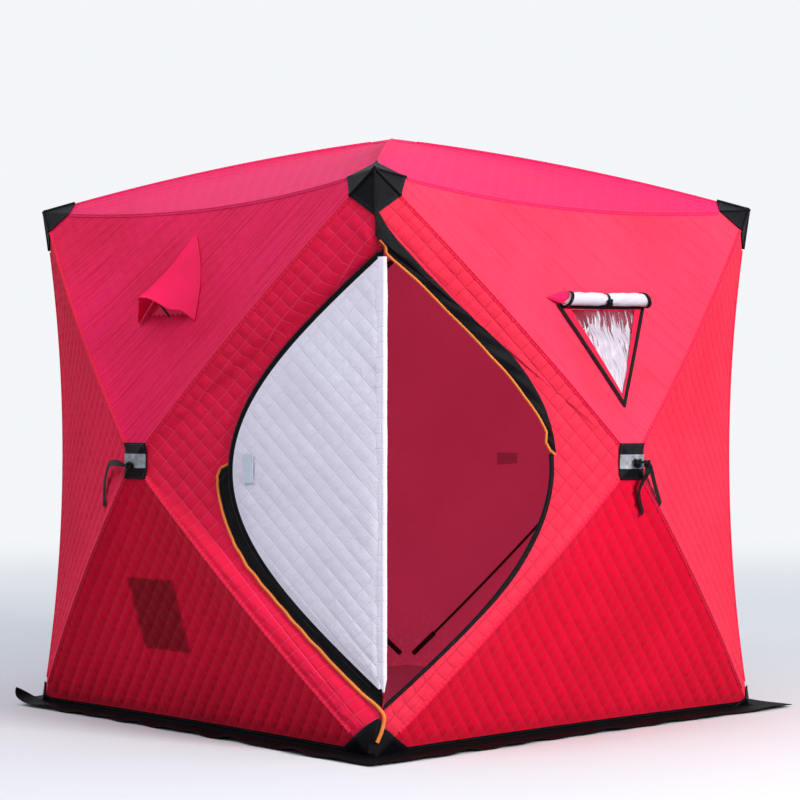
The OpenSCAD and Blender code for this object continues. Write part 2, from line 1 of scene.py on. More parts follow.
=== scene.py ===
# %% [markdown]
# # A pop-up ice fishing hut
# The hut is five cloth pyramids: four walls and a roof. In the middle of each one a hub pushes the cloth out,
# and four bent poles run from the hub to the corners. The CAD frame holds the solids that carry and collide.
# This lesson makes the cloth itself: quilted panels, a folded lens door, storm flaps, windows, vents and skirts.

# %% Load the frame
import bpy
import math
import numpy as np
from mathutils import Matrix, Vector


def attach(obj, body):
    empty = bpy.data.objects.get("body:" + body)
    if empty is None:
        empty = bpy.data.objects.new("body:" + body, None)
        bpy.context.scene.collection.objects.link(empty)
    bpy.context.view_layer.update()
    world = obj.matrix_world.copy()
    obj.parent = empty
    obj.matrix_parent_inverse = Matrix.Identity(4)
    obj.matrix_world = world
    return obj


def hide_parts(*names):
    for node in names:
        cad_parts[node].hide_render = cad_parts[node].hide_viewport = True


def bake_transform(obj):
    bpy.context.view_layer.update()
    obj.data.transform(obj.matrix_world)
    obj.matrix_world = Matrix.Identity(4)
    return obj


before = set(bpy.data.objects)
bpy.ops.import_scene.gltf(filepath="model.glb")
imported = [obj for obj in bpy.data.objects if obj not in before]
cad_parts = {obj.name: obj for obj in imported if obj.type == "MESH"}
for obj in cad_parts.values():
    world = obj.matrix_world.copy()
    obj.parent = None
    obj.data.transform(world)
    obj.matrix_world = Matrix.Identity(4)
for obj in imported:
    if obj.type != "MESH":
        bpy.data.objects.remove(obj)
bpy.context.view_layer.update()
print("frame nodes:", len(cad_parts))

# %% [markdown]
# ## The rule behind every panel
# All cloth follows one rule: a point of a panel is a blend of its hub and the two corners of its edge, with a bow
# at the edge and an arch along the poles. The sizes are those of the CAD source, in metres. Each piece below asks
# this rule where it lies, so nothing has to be fitted by eye.

# %% Sizes of the hut
HALF, TOP = 0.900, 1.778
BULGE, RISE, ARCH = 0.248, 0.262, 0.026
EDGE_BOW, HEM_BOW, PULL = 0.070, 0.024, 0.036
CLOTH = 0.008
TILT = math.atan(BULGE / HALF)
HUB_IN = CLOTH / math.cos(TILT)
CORNER_IN = CLOTH / (math.cos(TILT) + math.sin(TILT))
NORMALS = np.array([[0, 0, 1], [0, -1, 0], [1, 0, 0], [0, 1, 0], [-1, 0, 0]], float)
CORNER_XY = [(1, -1), (1, 1), (-1, 1), (-1, -1)]
ROOF, FRONT, RIGHT, BACK, LEFT = range(5)
WALLS = (FRONT, RIGHT, BACK, LEFT)
FACET_LEN = math.hypot(TOP / 2, BULGE)
POLE_LEN = math.sqrt(HALF ** 2 + (TOP / 2) ** 2 + BULGE ** 2)


# %% Where the cloth lies
def unit(v):
    return v / np.maximum(np.linalg.norm(v, axis=-1, keepdims=True), 1e-12)


def hub_point(f, depth=0.0):
    if f == ROOF:
        return np.array([0, 0, TOP + RISE - depth])
    return NORMALS[f] * (HALF + BULGE - depth) + np.array([0, 0, TOP / 2])


def corner_point(c, top, depth=0.0):
    x, y = CORNER_XY[c]
    return np.array([x * (HALF - depth), y * (HALF - depth), TOP - depth if top else 0.0])


def left_corner(f):
    return (f + 2) % 4


def right_corner(f):
    return (f + 3) % 4


def facet_ends(f, k, depth=0.0):
    if f == ROOF:
        return corner_point(right_corner(k + 1), True, depth), corner_point(left_corner(k + 1), True, depth)
    a = corner_point(left_corner(f) if k in (0, 3) else right_corner(f), k < 2, depth)
    b = corner_point(right_corner(f) if k < 2 else left_corner(f), k in (0, 3), depth)
    return a, b


def is_door(f, k):
    return (f, k) in ((FRONT, 1), (RIGHT, 3))


def beside(f, k):
    if f == ROOF:
        return NORMALS[k + 1]
    return NORMALS[ROOF] if k == 0 else NORMALS[f % 4 + 1] if k == 1 else NORMALS[(f + 2) % 4 + 1]


def skin(f, k, r, t, depth=0.0):
    """Point of facet k of face f: r from hub to edge, t across from -1 to 1, depth 0 outside and 1 inside."""
    r, t = np.broadcast_arrays(np.asarray(r, float), np.asarray(t, float))
    r, t = r[..., None], t[..., None]
    h = hub_point(f, depth * HUB_IN)
    a, b = facet_ends(f, k, depth * CORNER_IN)
    if is_door(f, k):
        up = t if k == 3 else -t
        end = np.clip(np.where(up > 0, (up - 0.735) / 0.045, (-0.80 - up) / 0.13), 0, 1)
        bow = np.array([PULL / 7, PULL, 0]) * (1 - end * end * (3 - 2 * end)) * r
    elif f != ROOF and k == 2:
        bow = -NORMALS[f] * HEM_BOW * (1 - t * t) * r ** 2.5
    else:
        bow = -(NORMALS[f] + beside(f, k)) / math.sqrt(2) * EDGE_BOW * (1 - t * t) * r ** 2.5
    arch = NORMALS[f] * ARCH * 4 * r * (1 - r) * t ** 4
    return h + r * ((1 - t) / 2 * (a - h) + (1 + t) / 2 * (b - h)) + bow + arch


def facet_out(f, k):
    h = hub_point(f)
    a, b = facet_ends(f, k)
    return unit(np.cross(b - h, a - h))


def top_point(f, x, y, lift=0.0):
    """Point on the top facet of wall f: x to the right, y up from the hub, both along the cloth."""
    r = np.asarray(y, float) / FACET_LEN
    return skin(f, 0, r, np.asarray(x, float) / HALF / r) + facet_out(f, 0) * np.asarray(lift)[..., None]


print("pole length", round(POLE_LEN, 3), "m")

# %% [markdown]
# ## Camera, floor and light
# The photo was taken from eye level, almost straight at the door corner, with a long lens. The camera comes first
# because every later render is compared with that view. The floor and the sky are plain and pale: the world shows
# a pale colour to the camera and to reflections, and lights the cloth with a softer, dimmer grey.

# %% Camera
scene = bpy.context.scene
scene.view_settings.view_transform = "Standard"
CAM_AT = Vector((5.677, -5.180, 0.999))
CAM_YAW, CAM_PITCH, CAM_ROLL = math.radians(137.45), math.radians(0.734), math.radians(0.05)
SENSOR, FOCAL_PIXELS, PHOTO_PIXELS = 36.0, 2125.5, 800
camera = bpy.data.objects.new("camera", bpy.data.cameras.new("camera"))
camera.data.sensor_width, camera.data.lens = SENSOR, SENSOR * FOCAL_PIXELS / PHOTO_PIXELS
camera.data.clip_end = 200
look = Vector((math.cos(CAM_YAW) * math.cos(CAM_PITCH), math.sin(CAM_YAW) * math.cos(CAM_PITCH),
               math.sin(CAM_PITCH)))
turn = look.to_track_quat("-Z", "Y").to_matrix() @ Matrix.Rotation(CAM_ROLL, 3, "Z")
camera.matrix_world = Matrix.Translation(CAM_AT) @ turn.to_4x4()
scene.collection.objects.link(camera)
scene.camera = camera


# %% Small helpers for node trees
def feed(tree, node, ins):
    """Fills inputs of a node: a socket is linked, a number or colour is set."""
    for key, value in ins.items():
        if isinstance(value, bpy.types.NodeSocket):
            tree.links.new(value, node.inputs[key])
        else:
            node.inputs[key].default_value = value
    return node


def put(tree, kind, ins=None, **settings):
    """Adds a node, makes its settings and fills its inputs."""
    made = tree.nodes.new(kind)
    for name, value in settings.items():
        setattr(made, name, value)
    return feed(tree, made, ins or {})


def calc(tree, operation, *values):
    """A Math node; returns its output socket."""
    return put(tree, "ShaderNodeMath", dict(enumerate(values)), operation=operation).outputs[0]


def ramp(tree, value, low, high, out_low=0.0, out_high=1.0):
    """A smooth step from out_low to out_high while value goes from low to high."""
    made = put(tree, "ShaderNodeMapRange", {"Value": value, "From Min": low, "From Max": high,
                                            "To Min": out_low, "To Max": out_high},
               interpolation_type="SMOOTHSTEP")
    return made.outputs["Result"]


def mix_colour(tree, factor, a, b):
    """Colour a where factor is 0 and b where it is 1."""
    return put(tree, "ShaderNodeMix", {0: factor, 6: a, 7: b}, data_type="RGBA").outputs[2]


def noise_of(tree, place, scale, detail, **more):
    """A Noise texture; returns its value."""
    ins = {"Vector": place, "Scale": scale, "Detail": detail, **more}
    return put(tree, "ShaderNodeTexNoise", ins).outputs["Fac"]


def bump_of(tree, height):
    """A Bump node that takes its height in metres."""
    return put(tree, "ShaderNodeBump", {"Height": height, "Distance": 1.0, "Strength": 1.0}).outputs[0]


def new_material(name):
    mat = bpy.data.materials.new(name)
    mat.use_nodes = True
    return mat, mat.node_tree, mat.node_tree.nodes["Principled BSDF"]


def new_object(name, data):
    made = bpy.data.objects.new(name, data)
    scene.collection.objects.link(made)
    return made


# %% Floor and world
SKY_SHOWN = (0.90, 0.92, 0.95, 1)


def pale_world():
    world = bpy.data.worlds.new("pale sky")
    scene.world = world
    world.use_nodes = True
    tree = world.node_tree
    tree.nodes.clear()
    path = put(tree, "ShaderNodeLightPath").outputs
    seen = calc(tree, "MAXIMUM", calc(tree, "MAXIMUM", path["Is Camera Ray"], path["Is Glossy Ray"]),
                path["Is Transmission Ray"])
    way = put(tree, "ShaderNodeSeparateXYZ", {0: put(tree, "ShaderNodeTexCoord").outputs["Generated"]}).outputs["Z"]
    level = ramp(tree, way, -0.10, 0.9, 0.07, 1.0)
    sky = put(tree, "ShaderNodeBackground", {"Color": (0.84, 0.90, 1.0, 1), "Strength": level})
    shown = put(tree, "ShaderNodeBackground", {"Color": SKY_SHOWN, "Strength": 1.0})
    mix = put(tree, "ShaderNodeMixShader", {0: seen, 1: sky.outputs[0], 2: shown.outputs[0]})
    put(tree, "ShaderNodeOutputWorld", {"Surface": mix.outputs[0]})


def floor_material():
    mat, tree, shader = new_material("pale_floor")
    seen = put(tree, "ShaderNodeLightPath").outputs["Is Camera Ray"]
    colour = mix_colour(tree, seen, (0.30, 0.30, 0.32, 1), (0.66, 0.67, 0.69, 1))
    feed(tree, shader, {"Base Color": colour, "Roughness": 0.85})
    place = put(tree, "ShaderNodeTexCoord").outputs["Object"]
    far = put(tree, "ShaderNodeVectorMath", {0: place}, operation="LENGTH").outputs["Value"]
    shown = put(tree, "ShaderNodeEmission", {"Color": SKY_SHOWN, "Strength": 1.0})
    share = calc(tree, "MULTIPLY", seen, ramp(tree, far, 1.5, 12.0))
    mix = put(tree, "ShaderNodeMixShader", {0: share, 1: shader.outputs[0], 2: shown.outputs[0]})
    tree.links.new(mix.outputs[0], tree.nodes["Material Output"].inputs["Surface"])
    return mat


def make_floor():
    side, below = 60.0, -0.001
    mesh = bpy.data.meshes.new("floor")
    mesh.from_pydata([(x * side, y * side, below) for x, y in ((-1, -1), (1, -1), (1, 1), (-1, 1))],
                     [], [(0, 1, 2, 3)])
    mesh.materials.append(floor_material())
    floor = new_object("floor", mesh)


def lamp(name, at, aim, size, watts, tint=(1, 1, 1)):
    light = bpy.data.lights.new(name, "AREA")
    light.shape, light.size, light.energy, light.color = "SQUARE", size, watts, tint
    facing = (Vector(aim) - Vector(at)).to_track_quat("-Z", "Y").to_matrix().to_4x4()
    new_object(name, light).matrix_world = Matrix.Translation(at) @ facing


pale_world()
make_floor()
lamp("key", (8.4, 0.5, 4.6), (0, 0, 0.8), 3.0, 800, (1.0, 0.97, 0.95))
lamp("fill", (-1.0, -7.5, 7.5), (0, 0, 1.2), 5.0, 280, (0.92, 0.94, 1.0))
print("camera and", len(bpy.data.lights), "lamps")

# %% [markdown]
# ## Finishes
# Three effects are shared by many cloths, so each is a node group: the sewn lines of the quilting, the fine weave of
# nylon, and soft dirt and fading. They put out masks and heights; each material mixes its own colours with them.
# Every cloth mesh carries a UV map named cloth, measured in metres along the cloth, so the weave has one real size.

# %% Shared effects
SQUARES = 28
SQUARE = POLE_LEN / SQUARES


def group(name, inputs, outputs, kind="ShaderNodeTree"):
    """A node tree with sockets of the named kinds; returns it, the sockets it is given and its output node."""
    tree = bpy.data.node_groups.new(name, kind)
    for label, socket, value in inputs:
        made = tree.interface.new_socket(label, in_out="INPUT", socket_type="NodeSocket" + socket)
        if value is not None:
            made.default_value = value
    for label, socket in outputs:
        tree.interface.new_socket(label, in_out="OUTPUT", socket_type="NodeSocket" + socket)
    return tree, tree.nodes.new("NodeGroupInput").outputs, tree.nodes.new("NodeGroupOutput")


def sewn_lines_group():
    """Distance to the nearest sewn line of the quilting, as a groove and as a dashed thread."""
    tree, given, sink = group("sewn_lines", [("Cloth", "Vector", None), ("Square", "Float", SQUARE),
                                             ("Groove Width", "Float", 0.0032)],
                              [("Groove", "Float"), ("Thread", "Float")])
    parts = put(tree, "ShaderNodeSeparateXYZ", {0: given["Cloth"]}).outputs
    grooves, threads = [], []
    for here, along in ((parts["X"], parts["Y"]), (parts["Y"], parts["X"])):
        cell = calc(tree, "DIVIDE", here, given["Square"])
        within = calc(tree, "FRACT", calc(tree, "ADD", cell, 0.5))
        near = calc(tree, "ABSOLUTE", calc(tree, "SUBTRACT", within, 0.5))
        metres = calc(tree, "MULTIPLY", near, given["Square"])
        grooves.append(ramp(tree, metres, 0.0, given["Groove Width"], 1.0, 0.0))
        dash = calc(tree, "LESS_THAN", calc(tree, "FRACT", calc(tree, "MULTIPLY", along, 190.0)), 0.68)
        threads.append(calc(tree, "MULTIPLY", dash, ramp(tree, metres, 0.0003, 0.0009, 1.0, 0.0)))
    feed(tree, sink, {"Groove": calc(tree, "MAXIMUM", *grooves), "Thread": calc(tree, "MAXIMUM", *threads)})
    return tree


def weave_group():
    """Plain weave: crossing threads as a height, and slubs as a slow change of tone."""
    tree, given, sink = group("plain_weave", [("Cloth", "Vector", None), ("Pitch", "Float", 0.0011)],
                              [("Height", "Float"), ("Slub", "Float")])
    parts = put(tree, "ShaderNodeSeparateXYZ", {0: given["Cloth"]}).outputs
    waves = []
    for part in ("X", "Y"):
        turns = calc(tree, "DIVIDE", parts[part], given["Pitch"])
        waves.append(calc(tree, "SINE", calc(tree, "MULTIPLY", turns, 2 * math.pi)))
    cross = calc(tree, "MULTIPLY", *waves)
    stretch = put(tree, "ShaderNodeMapping", {"Vector": given["Cloth"], "Scale": (900.0, 40.0, 1.0)})
    slub = noise_of(tree, stretch.outputs[0], 1.0, 2.0)
    feed(tree, sink, {"Height": calc(tree, "MULTIPLY_ADD", cross, 0.5, 0.5), "Slub": slub})
    return tree


def weather_group():
    """Soft creasing and fading that breaks up a large plain cloth, in object coordinates."""
    tree, given, sink = group("weathering", [("Place", "Vector", None), ("Size", "Float", 2.2)],
                              [("Fade", "Float"), ("Crease", "Float"), ("Dust", "Float")])
    place = given["Place"]
    fade = noise_of(tree, place, given["Size"], 4.0, Roughness=0.6)
    crease = noise_of(tree, place, 34.0, 5.0, Roughness=0.62, Distortion=0.6)
    parts = put(tree, "ShaderNodeSeparateXYZ", {0: place}).outputs
    low = ramp(tree, parts["Z"], 0.0, 0.35, 1.0, 0.0)
    dust = calc(tree, "MULTIPLY", low, ramp(tree, noise_of(tree, place, 60.0, 3.0), 0.5, 0.75))
    feed(tree, sink, {"Fade": fade, "Crease": crease, "Dust": dust})
    return tree


SEWN_LINES, PLAIN_WEAVE, WEATHERING = sewn_lines_group(), weave_group(), weather_group()


# %% Cloth material
def rgba(r, g, b):
    """A colour written as 0 to 255 in sRGB, as linear light."""
    def linear(c):
        c /= 255
        return c / 12.92 if c <= 0.04045 else ((c + 0.055) / 1.055) ** 2.4
    return (linear(r), linear(g), linear(b), 1.0)


DUST, SCUFF = rgba(176, 172, 168), rgba(120, 120, 124)


def cloth(name, base, shade, light, roughness=0.55, quilted=False, weave=0.0011, weave_bump=0.25, crease=0.25,
          sheen=0.06, sheen_tint=(1, 1, 1), shadow_patch=None, line=None, painted_glow=0.0, gloss=0.14, sewn=1.0,
          streak=None, dust=0.05):
    """Woven cloth: painted shade in the sewn grooves and in the pucker streaks, light on threads and slubs, a fine
    weave in the bump; line, when given, colours the grooves instead, as a painted highlight if lighter than the cloth
    and as painted shade if darker; sewn sets how strong the quilting shows, and streak gives long puckers with so many
    waves per metre each way; shadow_patch is the colour of a painted shadow, and painted_glow is painted light that
    makes the cloth glow."""
    mat, tree, shader = new_material(name)
    uv = put(tree, "ShaderNodeUVMap", uv_map="cloth").outputs[0]
    place = put(tree, "ShaderNodeTexCoord").outputs["Object"]
    wear = feed(tree, put(tree, "ShaderNodeGroup", node_tree=WEATHERING), {"Place": place}).outputs
    woven = feed(tree, put(tree, "ShaderNodeGroup", node_tree=PLAIN_WEAVE), {"Cloth": uv, "Pitch": weave}).outputs
    tone = ramp(tree, wear["Fade"], 0.3, 0.72)
    colour = mix_colour(tree, calc(tree, "MULTIPLY", tone, 0.55), base, shade)
    colour = mix_colour(tree, calc(tree, "MULTIPLY", woven["Slub"], 0.22), colour, light)
    height = calc(tree, "MULTIPLY", woven["Height"], weave_bump * 0.0004)
    height = calc(tree, "MULTIPLY_ADD", wear["Crease"], crease * 0.004, height)
    if quilted:
        quilt = feed(tree, put(tree, "ShaderNodeGroup", node_tree=SEWN_LINES), {"Cloth": uv}).outputs
        # Grooves take the line colour, else the shade colour: painted shade in the sewn lines, a painted highlight
        # where line is lighter; threads take the light colour.
        for part, strength, tint, rise in (("Groove", 0.42, line or shade, -0.0016), ("Thread", 0.6, light, 0.0005)):
            colour = mix_colour(tree, calc(tree, "MULTIPLY", quilt[part], strength * sewn), colour, tint)
            height = calc(tree, "MULTIPLY_ADD", quilt[part], rise * sewn, height)
    if streak:
        drawn = put(tree, "ShaderNodeMapping", {"Vector": uv, "Scale": (*streak, 1.0)})
        pull = noise_of(tree, drawn.outputs[0], 1.0, 2.0, Distortion=0.3)
        # Painted shade: where the puckers dip, the colour is darkened towards the shade colour.
        colour = mix_colour(tree, ramp(tree, pull, 0.46, 0.72, 0.0, 0.4), colour, shade)
        height = calc(tree, "MULTIPLY_ADD", pull, -0.007, height)
    if shadow_patch:
        # Painted shadow: where the pocket_shadow attribute is set, the colour turns to the shadow_patch colour.
        mask = put(tree, "ShaderNodeAttribute", attribute_name="pocket_shadow").outputs["Fac"]
        colour = mix_colour(tree, mask, colour, shadow_patch)
    colour = mix_colour(tree, calc(tree, "MULTIPLY", wear["Dust"], dust), colour, DUST)
    rough = calc(tree, "MULTIPLY_ADD", wear["Crease"], 0.16, roughness - 0.08)
    feed(tree, shader, {"Base Color": colour, "Roughness": rough, "Normal": bump_of(tree, height),
                        "Sheen Weight": sheen, "Sheen Roughness": 0.45, "Sheen Tint": (*sheen_tint, 1),
                        "Specular IOR Level": gloss})
    # Painted light: the cloth glows with its own colour, standing in for light that comes through the thin red outer
    # cloth.
    if painted_glow:
        feed(tree, shader, {"Emission Color": colour, "Emission Strength": painted_glow})
    return mat


RED, RED_SHADE, RED_LIGHT = rgba(234, 3, 58), rgba(200, 0, 36), rgba(252, 70, 116)
PINK_SHEEN = (1.0, 0.4, 0.6)
# The wall red's sewn lines take a lighter pink: a painted highlight where the stitched grooves catch the light.
RED_WALL = cloth("red_quilted_nylon", RED, RED_SHADE, RED_LIGHT, 0.66, quilted=True, sheen=0.03,
                 sheen_tint=PINK_SHEEN, line=rgba(250, 60, 106))
# Copy for the side facets of the right and left walls: its paler red is painted key light, and its dark sewn lines are
# painted shade.
RED_SIDE_LIT = cloth("red_quilted_side_lit_nylon", rgba(234, 42, 66), rgba(206, 14, 44), RED_LIGHT, 0.66, quilted=True,
                 sheen=0.03, sheen_tint=PINK_SHEEN, line=rgba(184, 0, 30))
# Darker copies for the bottom panels, which face down: painted shade. The front copy's lighter lines are a painted
# highlight, the right copy's dark lines painted shade, and shadow_patch paints the pocket's shadow.
RED_LOW_SHADED = [cloth(f"red_low_{side}_nylon", rgba(224, 0, 46), rgba(186, 0, 26), rgba(244, 26, 76), 0.7, quilted=True,
                 shadow_patch=rgba(104, 0, 18), line=line, sewn=0.7, gloss=0.05, dust=0.0)
           for side, line in (("front", rgba(226, 24, 66)), ("right", rgba(188, 0, 26)))]
# Top-panel copies: the front and back panels' bluer red is a painted reflection of the sky, the side walls' paler red
# is painted key light, and streak shades the long puckers.
RED_DRAWN = [cloth(f"red_drawn_{way}_nylon", base, shade, RED_LIGHT, 0.66, quilted=True, sheen=0.04,
                   sheen_tint=PINK_SHEEN, sewn=0.25, streak=streak)
             for way, base, shade, streak in (("right", rgba(240, 8, 86), RED_SHADE, (74.0, 3.0)),
                                              ("left", rgba(240, 54, 82), rgba(212, 30, 58), (3.0, 74.0)))]
RED_HOOD = cloth("red_hood_nylon", rgba(250, 4, 86), rgba(216, 0, 54), rgba(254, 70, 128), 0.66, sheen=0.03,
                 sheen_tint=PINK_SHEEN)
# The roof red is pinker and bluer than the walls': a painted reflection of the sky. Its lighter sewn lines are a
# painted highlight.
RED_ROOF = cloth("red_roof_nylon", rgba(220, 8, 84), rgba(200, 4, 62), rgba(250, 70, 128), 0.66, quilted=True,
                 sheen=0.05, sheen_tint=(1.0, 0.5, 0.8), line=rgba(232, 40, 102), sewn=0.4)
RED_PLAIN = cloth("red_plain_nylon", RED, RED_SHADE, RED_LIGHT, 0.66, sheen=0.03, sheen_tint=PINK_SHEEN)
# The lining is white cloth; inside the closed hut it takes the red of light coming through the outer cloth. This red
# colour and painted_glow are painted light standing in for it; the patch is a darker copy that glows the same way.
RED_LIT_LINING = cloth("red_lit_lining", rgba(158, 38, 68), rgba(146, 30, 58), rgba(176, 56, 88), 0.75, crease=0.15, painted_glow=0.72)
RED_LIT_LINING_PATCH = cloth("red_lit_patch_lining", rgba(132, 34, 58), rgba(112, 26, 48), rgba(146, 46, 72), 0.75, crease=0.15,
                    painted_glow=0.62)
# The white lining's shade colour is pink: its fade patches paint red light bounced from the walls. Its darker lavender
# sewn lines are painted shade.
WHITE = cloth("white_quilted_lining", rgba(236, 233, 246), rgba(228, 214, 230), rgba(250, 248, 254), 0.65, quilted=True,
              crease=0.6, line=rgba(206, 203, 224), sewn=0.45)
BLACK = cloth("black_nylon", rgba(6, 6, 11), rgba(3, 3, 6), rgba(18, 20, 28), 0.5, weave=0.0016, weave_bump=0.5,
              crease=0.5, sheen=0.0, gloss=0.10, dust=0.0)
# A greyer copy of the white lining for the rolled covers, darkened against the key light: painted shade.
ROLL_WHITE_SHADED = cloth("white_roll_lining_shaded", rgba(206, 202, 214), rgba(176, 170, 186), rgba(232, 228, 238), 0.65, crease=0.8)
# A darker copy of the black nylon for the skirts, which lie flat under the sky: painted shade.
SKIRT_BLACK_SHADED = cloth("black_skirt_cloth_shaded", rgba(3, 3, 5), rgba(1, 1, 2), rgba(10, 10, 14), 0.7, weave=0.0016,
                     weave_bump=0.5, crease=0.5, sheen=0.0, gloss=0.1, dust=0.0)
HOOK = cloth("pale_hook_tape", rgba(206, 214, 226), rgba(190, 198, 214), rgba(228, 234, 242), 0.7, weave=0.0024,
             weave_bump=1.0, crease=0.2)
WEBBING = cloth("black_webbing", rgba(9, 9, 13), rgba(4, 4, 6), rgba(32, 33, 39), 0.62, weave=0.0032,
                weave_bump=1.4, crease=0.2, sheen=0.0, dust=0.01)
ORANGE = cloth("orange_cord", rgba(236, 130, 52), rgba(204, 92, 30), rgba(255, 176, 104), 0.5, weave=0.003,
               weave_bump=1.2, crease=0.2)
print("cloths:", [m.name for m in bpy.data.materials if m.name.endswith(("nylon", "lining", "webbing", "cord"))])


# %% Hard finishes
def hard(name, base, shade, roughness, grain, grain_bump):
    """Moulded plastic or coated rod: a fine grain, slow changes of tone and a little scuffing."""
    mat, tree, shader = new_material(name)
    place = put(tree, "ShaderNodeTexCoord").outputs["Object"]
    wear = put(tree, "ShaderNodeGroup", node_tree=WEATHERING)
    feed(tree, wear, {"Place": place, "Size": 9.0})
    fine = noise_of(tree, place, grain, 3.0)
    scuffed = calc(tree, "MULTIPLY", ramp(tree, wear.outputs["Crease"], 0.58, 0.8), 0.35)
    colour = mix_colour(tree, ramp(tree, wear.outputs["Fade"], 0.35, 0.7), base, shade)
    colour = mix_colour(tree, scuffed, colour, SCUFF)
    feed(tree, shader, {"Base Color": colour,
                        "Roughness": calc(tree, "MULTIPLY_ADD", fine, 0.25, roughness - 0.12),
                        "Normal": bump_of(tree, calc(tree, "MULTIPLY", fine, grain_bump))})
    return mat


POLE = hard("pole_rod", rgba(38, 38, 42), rgba(24, 24, 27), 0.35, 300.0, 0.0002)
PLASTIC = hard("moulded_plastic", rgba(34, 34, 38), rgba(22, 22, 25), 0.5, 700.0, 0.0003)
COIL = hard("zip_coil", rgba(30, 30, 34), rgba(18, 18, 21), 0.35, 900.0, 0.0002)


def tape_material():
    """Grey reflective tape: small bright beads in a grid, duller where it is rubbed."""
    mat, tree, shader = new_material("reflective_tape")
    uv = put(tree, "ShaderNodeUVMap", uv_map="cloth").outputs[0]
    bead = put(tree, "ShaderNodeTexVoronoi", {"Vector": uv, "Scale": 420.0}).outputs["Distance"]
    rubbed = ramp(tree, noise_of(tree, uv, 40.0, 4.0), 0.35, 0.7)
    feed(tree, shader, {"Base Color": mix_colour(tree, rubbed, rgba(150, 153, 158), rgba(112, 115, 121)),
                        "Roughness": ramp(tree, bead, 0.0, 0.8, 0.25, 0.5), "Metallic": 0.25,
                        "Normal": bump_of(tree, calc(tree, "MULTIPLY", bead, 0.0004))})
    return mat


def film_material():
    """Soft clear film: see-through at the top, hazy below, with crinkles that run down from its top edge."""
    mat, tree, shader = new_material("clear_film")
    uv = put(tree, "ShaderNodeUVMap", uv_map="cloth").outputs[0]
    stretch = put(tree, "ShaderNodeMapping", {"Vector": uv, "Scale": (9.0, 95.0, 1.0)})
    crinkle = noise_of(tree, stretch.outputs[0], 1.0, 3.0, Distortion=0.5)
    apart = put(tree, "ShaderNodeSeparateXYZ", {0: uv})
    low = calc(tree, "ADD", ramp(tree, apart.outputs["X"], 0.20, 0.32, 0.20, -0.10),
               ramp(tree, apart.outputs["Y"], -0.12, 0.0, -0.10, 0.06))
    haze = ramp(tree, calc(tree, "ADD", crinkle, low), 0.48, 0.66)
    feed(tree, shader, {"Base Color": mix_colour(tree, haze, rgba(124, 66, 86), rgba(196, 186, 200)),
                        "Alpha": calc(tree, "MULTIPLY_ADD", haze, 0.74, 0.18), "Roughness": 0.18, "Coat Weight": 0.5,
                        "Normal": bump_of(tree, calc(tree, "MULTIPLY", crinkle, 0.012))})
    return mat


TAPE, FILM = tape_material(), film_material()

# %% [markdown]
# ## Turning points into closed cloth
# A piece of cloth is a closed sheet: an outer face, an inner face and a rim. Trim is made from one grid of points,
# with the inner face set back along the normals. Several sheets of one kind are gathered in one mesh.
# Rods and cords are tubes swept along a path.


# %% Mesh helpers
class Shape:
    """Collects vertices, faces and cloth coordinates of one piece."""

    def __init__(self):
        self.points, self.faces, self.uv = [], [], []

    def add(self, points, faces, uv):
        start = len(self.points)
        self.points += [tuple(p) for p in np.asarray(points, float)]
        self.uv += [tuple(p) for p in np.asarray(uv, float)]
        self.faces += [tuple(int(i) + start for i in f) for f in faces]
        return self


def grid_normals(grid, hint):
    n = unit(np.cross(np.gradient(grid, axis=0), np.gradient(grid, axis=1)))
    flip = np.sum(n * hint) < 0
    return (-n if flip else n), flip


def run_lengths(grid, axis):
    steps = np.linalg.norm(np.diff(grid, axis=axis), axis=-1)
    pad = np.zeros_like(np.take(steps, [0], axis=axis))
    return np.cumsum(np.concatenate([pad, steps], axis=axis), axis=axis)


def grid_faces(ni, nj, flip, loop=False):
    faces = []
    for i in range(ni - 1):
        for j in range(nj if loop else nj - 1):
            k = (j + 1) % nj
            q = (i * nj + j, (i + 1) * nj + j, (i + 1) * nj + k, i * nj + k)
            faces.append(q[::-1] if flip else q)
    return faces


def rim_faces(ni, nj, flip, loop=False):
    off, faces = ni * nj, []
    row = [j % nj for j in range(nj + 1 if loop else nj)]
    runs = [row, [(ni - 1) * nj + j for j in row]]
    if not loop:
        runs += [[i * nj for i in range(ni)], [i * nj + nj - 1 for i in range(ni)]]
    for n, run in enumerate(runs):
        back = (n in (1, 2)) != flip
        for a, b in zip(run, run[1:]):
            q = (a, b, b + off, a + off)
            faces.append(q[::-1] if back else q)
    return faces


def add_sheet(shape, grid, thick, hint, loop=False):
    """Closed sheet: grid is its outer face, and the inner face lies thick behind it."""
    grid = np.asarray(grid, float)
    ni, nj = grid.shape[:2]
    n, flip = grid_normals(grid, hint)
    uv = np.stack([run_lengths(grid, 0), run_lengths(grid, 1)], axis=-1).reshape(-1, 2)
    points = np.concatenate([grid.reshape(-1, 3), (grid - n * thick).reshape(-1, 3)])
    top = grid_faces(ni, nj, flip, loop)
    low = [tuple(i + ni * nj for i in f[::-1]) for f in top]
    return shape.add(points, top + low + rim_faces(ni, nj, flip, loop), np.concatenate([uv, uv]))


